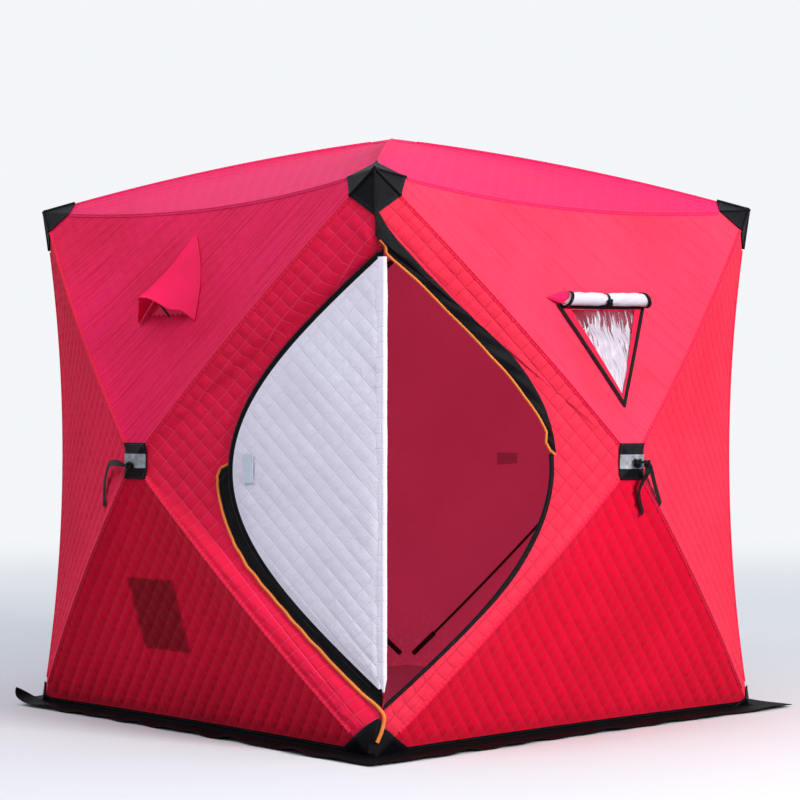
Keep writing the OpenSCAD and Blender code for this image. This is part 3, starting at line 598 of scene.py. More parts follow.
def add_tube(shape, path, radius, sides=8, closed=False, squash=1.0, up=(0, 0, 1)):
    """Tube along a path, with flat ends; radius may change along it and squash flattens it along up."""
    path = np.asarray(path, float)
    n = len(path)
    radius = np.broadcast_to(np.asarray(radius, float), (n,))
    ahead = np.roll(path, -1, 0) - np.roll(path, 1, 0) if closed else np.gradient(path, axis=0)
    ahead = unit(ahead)
    one = unit(np.cross(ahead, np.broadcast_to(np.asarray(up, float), path.shape)))
    two = np.cross(one, ahead)
    a = np.arange(sides) * 2 * math.pi / sides
    ring = path[:, None] + radius[:, None, None] * (one[:, None] * np.cos(a)[None, :, None]
                                                    + two[:, None] * np.sin(a)[None, :, None] * squash)
    along = np.concatenate([[0], np.cumsum(np.linalg.norm(np.diff(path, axis=0), axis=1))])
    uv = np.stack(np.broadcast_arrays(along[:, None], (a * float(radius.mean()))[None, :]), -1).reshape(-1, 2)
    faces = []
    for i in range(n if closed else n - 1):
        for j in range(sides):
            k, m = (j + 1) % sides, (i + 1) % n
            faces.append((i * sides + j, i * sides + k, m * sides + k, m * sides + j))
    if not closed:
        faces += [tuple(range(sides))[::-1], tuple((n - 1) * sides + j for j in range(sides))]
    return shape.add(ring.reshape(-1, 3), faces, uv)


def cloth_mesh(name, points, faces, uv):
    """A mesh with the UV map named cloth, from one coordinate for each point."""
    mesh = bpy.data.meshes.new(name)
    mesh.from_pydata(points, [], faces)
    layer = mesh.uv_layers.new(name="cloth")
    at = np.zeros(len(mesh.loops), np.int32)
    mesh.loops.foreach_get("vertex_index", at)
    layer.data.foreach_set("uv", np.asarray(uv, np.float32)[at].ravel())
    return mesh


def soften(mesh, sharp):
    """Smooth shading, with edges over so many degrees left sharp."""
    mesh.shade_smooth()
    mesh.set_sharp_from_angle(angle=math.radians(sharp))


def finish_shape(name, shape, mat):
    """Makes the object, with smooth shading and its cloth map."""
    mesh = cloth_mesh(name, shape.points, shape.faces, shape.uv)
    mesh.materials.append(mat)
    mesh.validate()
    soften(mesh, 50)
    return new_object(name, mesh)


def cloth_area(made):
    """Area of the cloth of a closed sheet: half of its surface."""
    return sum(p.area for p in made.data.polygons) / 2


def trim(name, shape, mat, slot, *nodes, body="hut"):
    """A finished piece that rides on a body and stands for CAD nodes."""
    made = finish_shape(name, shape, mat)
    print(name, len(made.data.polygons), "faces,", round(cloth_area(made), 4), "square metres")
    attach(made, body)
    if nodes:
        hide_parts(*nodes)
    return made


def wave(x, seed, waves=5, low=1.0, high=4.0):
    """A smooth random curve between about -1 and 1, the same for the same seed."""
    rng = np.random.default_rng(seed)
    x = np.asarray(x, float)
    total = np.zeros_like(x)
    for _ in range(waves):
        total = total + np.sin(x * rng.uniform(low, high) * 2 * math.pi + rng.uniform(0, 6.3))
    return total / math.sqrt(waves) / 1.2


# %% [markdown]
# ## Quilted panels
# Each panel is two cloths with wadding between them, sewn in squares whose lines run along the two poles.
# A sculpted mesh would have to be drawn twenty times; a rule makes it once. The base mesh carries, at every point,
# its place in the quilt, the outward direction and the distance to the nearest seam. A Geometry Nodes tree then
# lifts the squares, gives each its own fullness, and puckers the cloth beside the seams.

# %% The quilting rule
def quilt_tree():
    inputs = [("Geometry", "Geometry", None)]
    inputs += [(label, "Float", None) for label in ("Puff", "Lining Puff", "Pucker", "Sag", "Seed")]
    inputs += [(label, "Material", None) for label in ("Outer Cloth", "Lining Cloth")]
    tree, given, sink = group("quilted_cloth", inputs, [("Geometry", "Geometry")], "GeometryNodeTree")

    def named(name, kind):
        made = put(tree, "GeometryNodeInputNamedAttribute", {"Name": name}, data_type=kind)
        return made.outputs["Attribute"]

    def noise(x, y, w, scale=1.0):
        at = put(tree, "ShaderNodeCombineXYZ", {0: x, 1: y, 2: 0.0}).outputs[0]
        made = put(tree, "ShaderNodeTexNoise", {"Vector": at, "W": w, "Scale": scale, "Detail": 2.0},
                   noise_dimensions="4D")
        return calc(tree, "MULTIPLY_ADD", made.outputs[0], 2.0, -1.0)

    quilt = put(tree, "ShaderNodeSeparateXYZ", {0: named("quilt", "FLOAT_VECTOR")}).outputs
    p, q = quilt["X"], quilt["Y"]
    side, seam = named("side", "FLOAT"), named("seam_distance", "FLOAT")
    outward = named("outward", "FLOAT_VECTOR")
    fade = ramp(tree, seam, 0.0, 0.024)
    ridges = [calc(tree, "ABSOLUTE", calc(tree, "SINE", calc(tree, "MULTIPLY", x, math.pi))) for x in (p, q)]
    pillow = calc(tree, "POWER", calc(tree, "MULTIPLY", *ridges), 0.5)
    cell = put(tree, "ShaderNodeCombineXYZ", {0: calc(tree, "FLOOR", p), 1: calc(tree, "FLOOR", q), 2: 0.0})
    chance = put(tree, "ShaderNodeTexWhiteNoise", {"Vector": cell.outputs[0], "W": given["Seed"]},
                 noise_dimensions="4D")
    full = calc(tree, "MULTIPLY_ADD", chance.outputs["Value"], 0.5, 0.75)
    lump = noise(calc(tree, "MULTIPLY", p, 1.7), calc(tree, "MULTIPLY", q, 1.7), given["Seed"])
    full = calc(tree, "MULTIPLY_ADD", lump, 0.35, full)
    puff = calc(tree, "MULTIPLY", calc(tree, "MULTIPLY", pillow, full), given["Puff"])
    rim = calc(tree, "SUBTRACT", float(SQUARES), calc(tree, "ADD", p, q))
    lean = calc(tree, "SUBTRACT", p, q)
    puckers = []
    for near, along, reach in ((p, q, 1.5), (q, p, 1.5), (rim, lean, 1.2)):
        stripes = noise(calc(tree, "MULTIPLY", along, 2.3), calc(tree, "MULTIPLY", near, 0.33), given["Seed"])
        hold = calc(tree, "EXPONENT", calc(tree, "DIVIDE", near, -reach))
        puckers.append(calc(tree, "MULTIPLY", stripes, hold))
    pucker = calc(tree, "ADD", calc(tree, "ADD", puckers[0], puckers[1]), puckers[2])
    pucker = calc(tree, "MULTIPLY", pucker, given["Pucker"])
    corner = ramp(tree, rim, 1.0, 13.0, 1.0, 0.0)
    creases = []
    for near, along in ((p, q), (q, p)):
        lines = noise(calc(tree, "MULTIPLY", near, 2.6), calc(tree, "MULTIPLY", along, 0.16), given["Seed"])
        hold = calc(tree, "MULTIPLY", calc(tree, "EXPONENT", calc(tree, "DIVIDE", near, -4.0)), corner)
        creases.append(calc(tree, "MULTIPLY", lines, hold))
    deep = calc(tree, "MULTIPLY", given["Pucker"], 1.6)
    pucker = calc(tree, "MULTIPLY_ADD", calc(tree, "ADD", *creases), deep, pucker)
    slow = noise(calc(tree, "MULTIPLY", p, 0.13), calc(tree, "MULTIPLY", q, 0.13), given["Seed"])
    sag = calc(tree, "MULTIPLY", slow, given["Sag"])
    outer = calc(tree, "ADD", calc(tree, "ADD", puff, pucker), sag)
    inner = calc(tree, "SUBTRACT", sag, calc(tree, "MULTIPLY", pillow, given["Lining Puff"]))
    lift = calc(tree, "ADD", calc(tree, "MULTIPLY", outer, side),
                calc(tree, "MULTIPLY", inner, calc(tree, "SUBTRACT", 1.0, side)))
    lift = calc(tree, "MULTIPLY", lift, fade)
    move = put(tree, "ShaderNodeVectorMath", {0: outward, "Scale": lift}, operation="SCALE")
    shaped = put(tree, "GeometryNodeSetPosition", {"Geometry": given["Geometry"], "Offset": move.outputs[0]})
    is_outer = calc(tree, "GREATER_THAN", side, 0.4)
    dressed = put(tree, "GeometryNodeSetMaterial", {"Geometry": shaped.outputs[0], "Material": given["Lining Cloth"]})
    dressed = put(tree, "GeometryNodeSetMaterial", {"Geometry": dressed.outputs[0], "Selection": is_outer,
                                                    "Material": given["Outer Cloth"]})
    done = put(tree, "GeometryNodeRealizeInstances", {"Geometry": dressed.outputs[0]})
    tree.links.new(done.outputs[0], sink.inputs["Geometry"])
    return tree


QUILT = quilt_tree()


def settle(made):
    """Keeps what an object's modifiers make as its plain mesh."""
    bpy.context.view_layer.update()
    deps = bpy.context.evaluated_depsgraph_get()
    mesh = bpy.data.meshes.new_from_object(made.evaluated_get(deps), preserve_all_data_layers=True, depsgraph=deps)
    made.modifiers.clear()
    old, made.data = made.data, mesh
    mesh.name = made.name
    bpy.data.meshes.remove(old)
    return made


def run_tree(made, tree, values):
    """Gives an object a Geometry Nodes tree, sets its inputs, and keeps the result as a plain mesh."""
    inputs = {s.name: s.identifier for s in tree.interface.items_tree if s.in_out == "INPUT"}
    modifier = made.modifiers.new(tree.name, "NODES")
    modifier.node_group = tree
    for name, value in values.items():
        modifier[inputs[name]] = value
    return settle(made)


def quilt_piece(name, points, faces, quilt, side, seam, outward, outer, lining, seed, puff,
                lining_puff=0.0015, pucker=0.0028, sag=0.003, marks=None):
    """One quilted piece from a base mesh and what the quilting rule needs at each point."""
    quilt = np.asarray(quilt, np.float32)
    mesh = cloth_mesh(name, np.asarray(points, float).tolist(), faces, quilt * SQUARE)
    for label, kind, key, values in (
            ("quilt", "FLOAT_VECTOR", "vector", np.concatenate([quilt, np.zeros((len(quilt), 1), np.float32)], 1)),
            ("outward", "FLOAT_VECTOR", "vector", np.broadcast_to(outward, (len(quilt), 3))),
            ("side", "FLOAT", "value", side), ("seam_distance", "FLOAT", "value", seam),
            ("pocket_shadow", "FLOAT", "value", np.zeros(len(quilt)) if marks is None else marks)):
        attribute = mesh.attributes.new(label, kind, "POINT")
        attribute.data.foreach_set(key, np.asarray(values, np.float32).ravel())
    made = new_object(name, mesh)
    run_tree(made, QUILT, {"Puff": puff, "Lining Puff": lining_puff, "Pucker": pucker, "Sag": sag,
                           "Seed": float(seed), "Outer Cloth": outer, "Lining Cloth": lining})
    for label in ("quilt", "outward", "side", "seam_distance"):
        made.data.attributes.remove(made.data.attributes[label])
    soften(made.data, 60)
    return made


# %% [markdown]
# ## The base mesh of a panel
# A panel is a triangle from hub to edge. Its lattice follows the two poles, so the sewn lines fall on mesh lines.
# The inner face has half the resolution, because the lining is smooth, and the rim joins the two.
# Windows and vents are left open by skipping cells under their borders.

# %% Seams, holes and footprints
STEPS = 5
PATCH_HALF = 0.058
CAP_REACH, CAP_POLE = 0.138, 0.112
FOOT_REACH, FOOT_POLE, FOOT_HEM = 0.122, 0.090, 0.175
SKIRT_UP = 0.024
WINDOW = np.array([(0.007, 0.180), (0.227, 0.547), (-0.204, 0.533)])
WINDOW_HOLE = np.array([(0.012, 0.210), (0.184, 0.541), (-0.150, 0.528)])
HOOD = np.array([(0.002, 0.824), (-0.155, 0.486), (0.155, 0.486)])
VENT_HOLE = np.array([(0.033, 0.694), (-0.105, 0.514), (0.105, 0.514)])
POCKET = np.array([(-0.070, 0.406), (0.180, 0.406), (0.180, 0.655), (-0.070, 0.655)])


def sides_of(polygon):
    """Both ends of each side of a convex polygon, and the outward direction of the side."""
    centre = polygon.mean(0)
    for a, b in zip(polygon, np.roll(polygon, -1, 0)):
        n = np.array([b[1] - a[1], a[0] - b[0]]) / np.linalg.norm(b - a)
        yield a, b, -n if n @ (centre - a) > 0 else n


def outside(polygon, x, y):
    """How far a point lies outside a convex polygon, negative inside."""
    return np.max([(x - a[0]) * n[0] + (y - a[1]) * n[1] for a, _, n in sides_of(polygon)], axis=0)


def seam_distance(f, k, p, q):
    """Distance in metres from a point of a panel to the nearest seam or trim."""
    r = p + q
    x, y = (q - p) * HALF, r * FACET_LEN
    near = [p * POLE_LEN, q * POLE_LEN, (1 - r) * FACET_LEN, r * HALF - PATCH_HALF]
    bottom = f != ROOF and k == 2
    for at_edge in (p, q):
        low = bottom or (f != ROOF and ((k == 1 and at_edge is p) or (k == 3 and at_edge is q)))
        reach, pole = (FOOT_HEM if bottom else FOOT_REACH, FOOT_POLE) if low else (CAP_REACH, CAP_POLE)
        ring = np.maximum((1 - r) * POLE_LEN / pole, 0) + at_edge * 2 * HALF / reach
        near.append((ring - 1.04) * reach)
    if bottom:
        near.append((1 - r) * FACET_LEN - SKIRT_UP - 0.004)
    if f in (RIGHT, LEFT) and k == 0:
        near += [outside(WINDOW, x, y)]
    if f in (FRONT, BACK) and k == 0:
        near += [outside(HOOD, x, y)]
    return np.maximum(np.min(near, axis=0), 0.0)


def hole_of(f, k):
    if k != 0:
        return None
    return {RIGHT: WINDOW_HOLE, LEFT: WINDOW_HOLE, FRONT: VENT_HOLE, BACK: VENT_HOLE}.get(f)


def lattice(n, gone):
    """Cells of a triangular lattice with n steps, without those that gone names."""
    cells = {}
    for i in range(n):
        for j in range(n - i):
            if (i, j) not in gone:
                corners = [(i, j), (i + 1, j), (i, j + 1)]
                cells[i, j] = corners if i + j == n - 1 else [(i, j), (i + 1, j), (i + 1, j + 1), (i, j + 1)]
    return cells


def panel_base(f, k):
    """Points, faces and quilting data of one triangular panel."""
    n = SQUARES * STEPS
    m = n // 2
    hole, gone = hole_of(f, k), set()
    if hole is not None:
        for i in range(m):
            for j in range(m - i):
                p, q = (i + 0.5) / m, (j + 0.5) / m
                if outside(hole, (q - p) * HALF, (p + q) * FACET_LEN) < 0.004:
                    gone.add((i, j))
    coarse = lattice(m, gone)
    fine = lattice(n, {(i, j) for i in range(n) for j in range(n - i) if (i // 2, j // 2) in gone})
    out_at, in_at = {}, {}
    for cell in fine.values():
        for v in cell:
            out_at.setdefault(v, len(out_at))
    for cell in coarse.values():
        for v in cell:
            in_at.setdefault(v, len(in_at))
    base = len(out_at)
    uv_out = np.array(list(out_at), float) / n
    uv_in = np.array(list(in_at), float) / m
    pq = np.concatenate([uv_out, uv_in])
    r = pq.sum(1)
    t = (pq[:, 1] - pq[:, 0]) / np.maximum(r, 1e-9)
    depth = np.concatenate([np.zeros(base), np.ones(len(in_at))])
    points = np.where(depth[:, None] < 0.5, skin(f, k, r, t), skin(f, k, r, t, 1.0))
    faces = [tuple(out_at[v] for v in c) for c in fine.values()]
    faces += [tuple(base + in_at[v] for v in c[::-1]) for c in coarse.values()]
    once = {}
    for c in coarse.values():
        for a, b in zip(c, c[1:] + c[:1]):
            if (b, a) in once:
                del once[b, a]
            else:
                once[a, b] = True
    for a, b in once:
        mid = (a[0] + b[0], a[1] + b[1])
        far, close = (2 * b[0], 2 * b[1]), (2 * a[0], 2 * a[1])
        faces.append((out_at[far], out_at[mid], out_at[close], base + in_at[a], base + in_at[b]))
    first = points[list(faces[0])]
    if np.cross(first[1] - first[0], first[2] - first[0]) @ facet_out(f, k) < 0:
        faces = [x[::-1] for x in faces]
    return points, faces, pq * SQUARES, 1 - depth, seam_distance(f, k, pq[:, 0], pq[:, 1])


# %% [markdown]
# ## The two panels beside the door
# They are cut along the lens, so a lattice along the poles would leave a ragged edge. Here the mesh lines run
# along the cut instead, and the quilting data still come from the poles: the sewn squares do not care how
# the mesh under them is divided.

# %% Door geometry
FOLD = np.array([HALF + PULL / 7, -HALF + PULL])
LENS_W, LENS_H, LENS_Z = 0.575, 0.682, 0.876
AXIS_OFF, FOLD_GAP, EDGE_IN = 0.003, 0.006, 0.009
FLAP_GAP = 0.008
RIGHT_CUT, RIGHT_LOW = 0.016, 0.036
FRONT_DIR = unit(np.array([0, -HALF - BULGE]) - FOLD)
RIGHT_DIR = unit(np.array([HALF + BULGE, 0]) - FOLD)
FRONT_OUT = np.array([-FRONT_DIR[1], FRONT_DIR[0]])
RIGHT_OUT = np.array([RIGHT_DIR[1], -RIGHT_DIR[0]])
AXIS = FOLD + (FRONT_OUT + RIGHT_OUT) * AXIS_OFF / (1 + FRONT_OUT @ RIGHT_OUT)
AXIS_FOOT = AXIS - FRONT_OUT * AXIS_OFF
DOOR_OUT, DOOR_DIR = np.append(FRONT_OUT, 0), np.append(FRONT_DIR, 0)


def lens_s(z, w=LENS_W, h=LENS_H):
    """Width of a lens half at height z, measured from the fold."""
    a = np.clip((np.asarray(z) - LENS_Z) / h, -1, 1) * math.pi / 2
    return w * np.cos(a)


def door_rt(f, s, z):
    """Panel coordinates of a point s from the fold at height z."""
    r = (FOLD[0] + FRONT_DIR[0] * s) / FOLD[0] if f == FRONT else (FOLD[1] + RIGHT_DIR[1] * s) / FOLD[1]
    r = np.maximum(r, 1e-4)
    t = (z - TOP / 2) / (TOP / 2) / r
    return r, (-t if f == FRONT else t)


def door_point(f, s, z, lift):
    """Point of a door panel s from the fold at height z, lifted off the cloth."""
    r, t = door_rt(f, np.asarray(s, float), np.asarray(z, float))
    k = 1 if f == FRONT else 3
    return skin(f, k, r, t) + facet_out(f, k) * np.asarray(lift, float)[..., None]


def beside_lens(f, angle, w, lift):
    """Point of a door panel at a lens angle in degrees, w off the cut edge and lift off the cloth."""
    angle, w, lift = np.broadcast_arrays(np.asarray(angle, float), np.asarray(w, float), np.asarray(lift, float))
    a = np.radians(angle)
    along_s, along_z = -LENS_W * np.sin(a) * math.pi / 180, LENS_H / 90
    m = np.hypot(along_s, along_z)
    s, z = LENS_W * np.cos(a) + w * along_z / m, LENS_Z + LENS_H * angle / 90 - w * along_s / m
    return door_point(f, np.maximum(s, 0.0015), z, lift)


def sheet_faces(ni, nj):
    """Faces of a closed two-skin grid whose outer points come first."""
    top = grid_faces(ni, nj, False)
    low = [tuple(i + ni * nj for i in x[::-1]) for x in top]
    return top + low + rim_faces(ni, nj, False)


def oriented(points, faces, hint, upto):
    """The faces, turned over if the first ones look away from hint."""
    total = 0.0
    for x in faces[:upto:7]:
        a, b, c = points[x[0]], points[x[1]], points[x[2]]
        total += np.cross(b - a, c - a) @ hint
    return faces if total > 0 else [x[::-1] for x in faces]


def two_skins(quilt, seam):
    """Quilting data of a two-skin grid: places in the quilt, 1 outside and 0 inside, and seam distances."""
    side = np.concatenate([np.ones(len(quilt)), np.zeros(len(quilt))])
    return np.concatenate([quilt, quilt]), side, np.concatenate([seam.ravel(), seam.ravel()])


def door_panel_base(f, rows=200, cols=40):
    k = 1 if f == FRONT else 3
    z = np.linspace(0.003, TOP - 0.003, rows)[:, None]
    u = np.linspace(0, 1, cols)[None, :]
    wider = RIGHT_CUT if f == RIGHT else 0.0
    high = LENS_H + np.where((f == RIGHT) & (z < LENS_Z), RIGHT_LOW, wider / 2)
    inner = np.where(np.abs(z - LENS_Z) < high, lens_s(z, LENS_W + wider, high), 0.0)
    pole = (1 - np.abs(z - TOP / 2) / (TOP / 2)) * FOLD[0] / -FRONT_DIR[0] * (1.0 if f == FRONT else 0.9463)
    pole = np.maximum(pole, inner + 0.0005)
    s = inner + (pole - inner) * u
    r, t = door_rt(f, s, z + 0 * u)
    t = np.clip(t, -1, 1)
    p, q = r * (1 - t) / 2, r * (1 + t) / 2
    slope = np.gradient(inner[:, 0], z[:, 0])[:, None]
    off_lens = (s - inner) / np.hypot(1, slope)
    upper = z > LENS_Z
    trim_w = np.where(upper, 0.004, 0.044) if f == FRONT else np.where(upper, 0.022, 0.012)
    seam = np.minimum(seam_distance(f, k, p, q), np.maximum(off_lens - trim_w, 0))
    seam = np.where(u == 0, 0, seam)
    points = np.concatenate([skin(f, k, r, t).reshape(-1, 3), skin(f, k, r, t, 1.0).reshape(-1, 3)])
    faces = oriented(points, sheet_faces(rows, cols), facet_out(f, k), (rows - 1) * (cols - 1))
    quilt = np.stack([p, q], -1).reshape(-1, 2) * SQUARES
    return points, faces, *two_skins(quilt, seam)


# %% Sew the twenty panels
WALL_SIDES = {FRONT: ("top", "door", "bottom", "left"), RIGHT: ("top", "back", "bottom", "door"),
              BACK: ("top", "left", "bottom", "right"), LEFT: ("top", "front", "bottom", "back")}
FACE_NAMES = {FRONT: "front", RIGHT: "right", BACK: "back", LEFT: "left"}
PUFFS = {"roof": 0.0014, "top": 0.0016, "door": 0.0050, "bottom": 0.0048, "left": 0.0042, "right": 0.0042,
         "front": 0.0042, "back": 0.0042}


def outer_cloth(f, k):
    """Roof, drawn top panels, and quilted walls, each facet with its copy of the red painted for the light it gets: the
    bottom panels darker, the side walls paler.
    """
    if f == ROOF:
        return RED_ROOF
    sides = RED_DRAWN if k == 0 else RED_LOW_SHADED if k == 2 else (RED_WALL, RED_SIDE_LIT)
    return sides[0 if f in (FRONT, BACK) else 1]


def sew_panel(f, k, node, seed):
    door = is_door(f, k)
    points, faces, quilt, side, seam = door_panel_base(f) if door else panel_base(f, k)
    marks = None
    # Painted shadow: the inside pocket's shadow, set into the front bottom panel's pocket_shadow attribute.
    if (f, k) == (FRONT, 2):
        x, y = (quilt[:, 1] - quilt[:, 0]) / SQUARES * HALF, quilt.sum(1) / SQUARES * FACET_LEN
        marks = np.clip(0.5 - outside(POCKET, x, y) / 0.006, 0, 1) * 0.75 * side
    made = quilt_piece(node.replace("_panel", "_quilt"), points, faces, quilt, side, seam, facet_out(f, k),
                       outer_cloth(f, k), RED_LIT_LINING, seed, marks=marks,
                       pucker=0.0034 if door else 0.0028, puff=PUFFS["roof" if f == ROOF else WALL_SIDES[f][k]])
    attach(made, "hut")
    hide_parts(node)
    return made


panels = {}
for number in range(4):
    panels[ROOF, number] = sew_panel(ROOF, number, f"roof_{FACE_NAMES[number + 1]}_panel", 11 + number)
for wall in WALLS:
    for number in range(4):
        node_name = f"{FACE_NAMES[wall]}_wall_{WALL_SIDES[wall][number]}_panel"
        panels[wall, number] = sew_panel(wall, number, node_name, 20 + wall * 10 + number)
print("panels:", len(panels), "faces:", sum(len(o.data.polygons) for o in panels.values()))

# %% [markdown]
# ## The door: a fixed half and a folded flap
# The lens door is one quilted cloth folded at the corner. Its left half stays zipped to the front wall. Its right
# half is folded back over it, so its white lining faces out. Both halves use the quilting rule on a grid that runs
# along the lens. A rolled strip joins them.


# %% Fixed half and flap
def lens_half_base(width, height, lift_out, lift_in, rows=150, cols=56, follow=False, bulge=0.0, centre=LENS_Z):
    """Lens half on the front plane: outer skin at lift_out and inner skin at lift_in off that plane."""
    reach = math.acos((EDGE_IN + 0.004) / width) * 2 / math.pi * height
    z = centre + np.linspace(-reach, reach, rows)[:, None]
    edge = width * np.cos((z - centre) / height * math.pi / 2)
    u = np.linspace(0, 1, cols)[None, :]
    s = EDGE_IN + (edge - EDGE_IN) * u
    foot = AXIS_FOOT[None, None, :] + FRONT_DIR * s[..., None]
    soft = np.sin(u * math.pi) ** 0.7 * np.cos((z - centre) / reach * math.pi / 2) * bulge

    def layer(lift):
        xy = foot + FRONT_OUT * (lift + soft)[..., None]
        flat = np.concatenate([xy, np.broadcast_to(z, s.shape)[..., None]], -1)
        if follow:
            r, t = door_rt(FRONT, s, z + 0 * u)
            real = skin(FRONT, 1, r, t) + DOOR_OUT * lift
            flat = flat + (real - flat) * (u ** 2)[..., None]
        return flat.reshape(-1, 3)

    r, t = door_rt(RIGHT, s, z + 0 * u)
    quilt = np.stack([r * (1 - t) / 2, r * (1 + t) / 2], -1).reshape(-1, 2) * SQUARES
    slope = np.gradient(edge[:, 0], z[:, 0])[:, None]
    seam = np.maximum(np.minimum((edge - s) / np.hypot(1, slope) - 0.004, s - EDGE_IN), 0)
    points = np.concatenate([layer(lift_out), layer(lift_in)])
    faces = oriented(points, sheet_faces(rows, cols), DOOR_OUT, (rows - 1) * (cols - 1))
    return points, faces, *two_skins(quilt, seam)


FLAP_TAPE, FLAP_Z = 0.020, LENS_Z - 0.016
FLAP_W, FLAP_H = LENS_W - FLAP_GAP - FLAP_TAPE, LENS_H - FLAP_GAP - FLAP_TAPE * 0.6
fixed = quilt_piece("door_fixed_quilt", *lens_half_base(LENS_W, LENS_H, 0.0, -CLOTH, follow=True),
                    DOOR_OUT, RED_WALL, RED_LIT_LINING, 71, puff=0.0025, pucker=0.0, sag=0.0)
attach(fixed, "hut")
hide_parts("door_fixed_half")
flap = quilt_piece("door_flap_quilt", *lens_half_base(FLAP_W, FLAP_H, FOLD_GAP + CLOTH, FOLD_GAP, bulge=0.010,
                                                      centre=FLAP_Z),
                   DOOR_OUT, WHITE, RED_WALL, 72, puff=0.0018, lining_puff=0.0022, pucker=0.0030, sag=0.007)
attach(flap, "door")
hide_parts("door_flap")


# %% The rolled fold
FOLD_T = 0.0012


def fold_strip():
    """Half a roll of lining round the hinge line, from the fixed half to the flap."""
    z = FLAP_Z + np.linspace(-1.0, 0.99, 90) * FLAP_H
    turn_steps = np.linspace(-0.5, 0.5, 13) * math.pi
    radius = 0.0116 + 0.0008 * wave(z * 2, 5)
    ease = np.clip((1 - np.abs(z - FLAP_Z) / FLAP_H) / 0.06, np.where(z > FLAP_Z, 0.8, 0.25), 1)
    grid = []
    for zz, rr, part in zip(z, radius * ease, ease):
        at = np.append(AXIS, zz)
        row = [at + DOOR_DIR * 0.012 * part - DOOR_OUT * rr * 0.6]
        for a in turn_steps:
            row.append(at - DOOR_DIR * math.cos(a) * rr * 0.8 + DOOR_OUT * math.sin(a) * rr * (1 if a > 0 else 0.65))
        row += [at + DOOR_DIR * d * part + DOOR_OUT * (rr + FOLD_T) for d in (0.012, 0.022)]
        grid.append(row)
    shape = add_sheet(Shape(), np.array(grid), FOLD_T, -DOOR_DIR)
    made = finish_shape("door_fold_strip", shape, WHITE)
    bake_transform(made)
    return made


fold_strip()

# %% [markdown]
# ## Stitches and zip coils
# Small things that repeat along a path are instances: a tree turns a line of points into a curve, resamples it at
# the pitch, and sets one short bead on each point, turned along the curve. The beads are realised, because a
# part for a library has to be plain mesh. The same tree makes stitches and the coil of a zip.


# %% The bead tree
def bead_tree():
    inputs = [("Geometry", "Geometry", None), ("Finish", "Material", None)]
    inputs += [(label, "Float", None) for label in ("Pitch", "Length", "Width", "Height")]
    tree, given, sink = group("beads_along_path", inputs, [("Geometry", "Geometry")], "GeometryNodeTree")
    curve = put(tree, "GeometryNodeMeshToCurve", {"Mesh": given["Geometry"]})
    even = put(tree, "GeometryNodeResampleCurve", {"Curve": curve.outputs[0], "Length": given["Pitch"]}, mode="LENGTH")
    bead = put(tree, "GeometryNodeMeshIcoSphere", {"Radius": 0.5, "Subdivisions": 1})
    size = put(tree, "ShaderNodeCombineXYZ", {0: given["Width"], 1: given["Height"], 2: given["Length"]})
    line = put(tree, "GeometryNodeInputTangent")
    facing = put(tree, "FunctionNodeAlignRotationToVector", {"Vector": line.outputs[0]}, axis="Z")
    beads = put(tree, "GeometryNodeInstanceOnPoints", {"Points": even.outputs[0], "Instance": bead.outputs[0],
                                                       "Rotation": facing.outputs[0], "Scale": size.outputs[0]})
    real = put(tree, "GeometryNodeRealizeInstances", {"Geometry": beads.outputs[0]})
    done = put(tree, "GeometryNodeSetMaterial", {"Geometry": real.outputs[0], "Material": given["Finish"]})
    tree.links.new(done.outputs[0], sink.inputs["Geometry"])
    return tree


BEADS = bead_tree()


def thread(name, base, light):
    """Sewing thread: two plies twisted round each other, shown as slanting light and dark bands of painted highlight
    and shade.
    """
    mat, tree, shader = new_material(name)
    twist = noise_of(tree, put(tree, "ShaderNodeTexCoord").outputs["Object"], 900.0, 1.0)
    feed(tree, shader, {"Base Color": mix_colour(tree, twist, base, light), "Roughness": 0.55})
    return mat


RED_THREAD = thread("red_thread", rgba(196, 14, 48), rgba(250, 110, 140))
BLACK_THREAD = thread("black_thread", rgba(26, 26, 32), rgba(84, 86, 96))
GREY_THREAD = thread("grey_thread", rgba(140, 142, 150), rgba(206, 206, 214))


FINE_STITCH = (0.006, 0.0042, 0.0012, 0.0011)
FLAT_STITCH = (0.0075, 0.005, 0.0012, 0.0011)
PATCH_STITCH = (0.009, 0.006, 0.0012, 0.0011)
HOOD_STITCH = (0.0085, 0.0055, 0.0014, 0.0012)
SKIRT_STITCH = (0.014, 0.009, 0.0013, 0.0012)
SEAM_STITCH = (0.017, 0.011, 0.0018, 0.0016)
ZIP_TEETH = (0.0034, 0.0022, 0.0052, 0.0030)


def beads(name, paths, sizes, finish, body="hut", slot="trim"):
    """Stitches or teeth along several open paths, as one piece; sizes are pitch, length, width and height."""
    points, edges = [], []
    for path in paths:
        start = len(points)
        points += [tuple(p) for p in np.asarray(path, float)]
        edges += [(start + i, start + i + 1) for i in range(len(path) - 1)]
    mesh = bpy.data.meshes.new(name)
    mesh.from_pydata(points, edges, [])
    made = new_object(name, mesh)
    run_tree(made, BEADS, {**dict(zip(("Pitch", "Length", "Width", "Height"), sizes)), "Finish": finish})
    made.data.shade_smooth()
    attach(made, body)
    print(name, len(made.data.polygons), "faces")
    return made


# %% [markdown]
# ## Seams along the poles and edges
# Where two panels meet, their edges are turned in and sewn under a narrow tape of the same red cloth. The tape rides
# over the pole as a low ridge. Its rows of points are asked from the two panels on either side, so it follows
# both slopes, and a line of stitches runs along each edge of it.

# %% Seam tapes
TAPE_HALF, TAPE_T, TAPE_LIFT = 0.010, 0.0018, 0.0022


def next_facet(f, k):
    return (k - 1) % 4 if f == ROOF else (k + 1) % 4


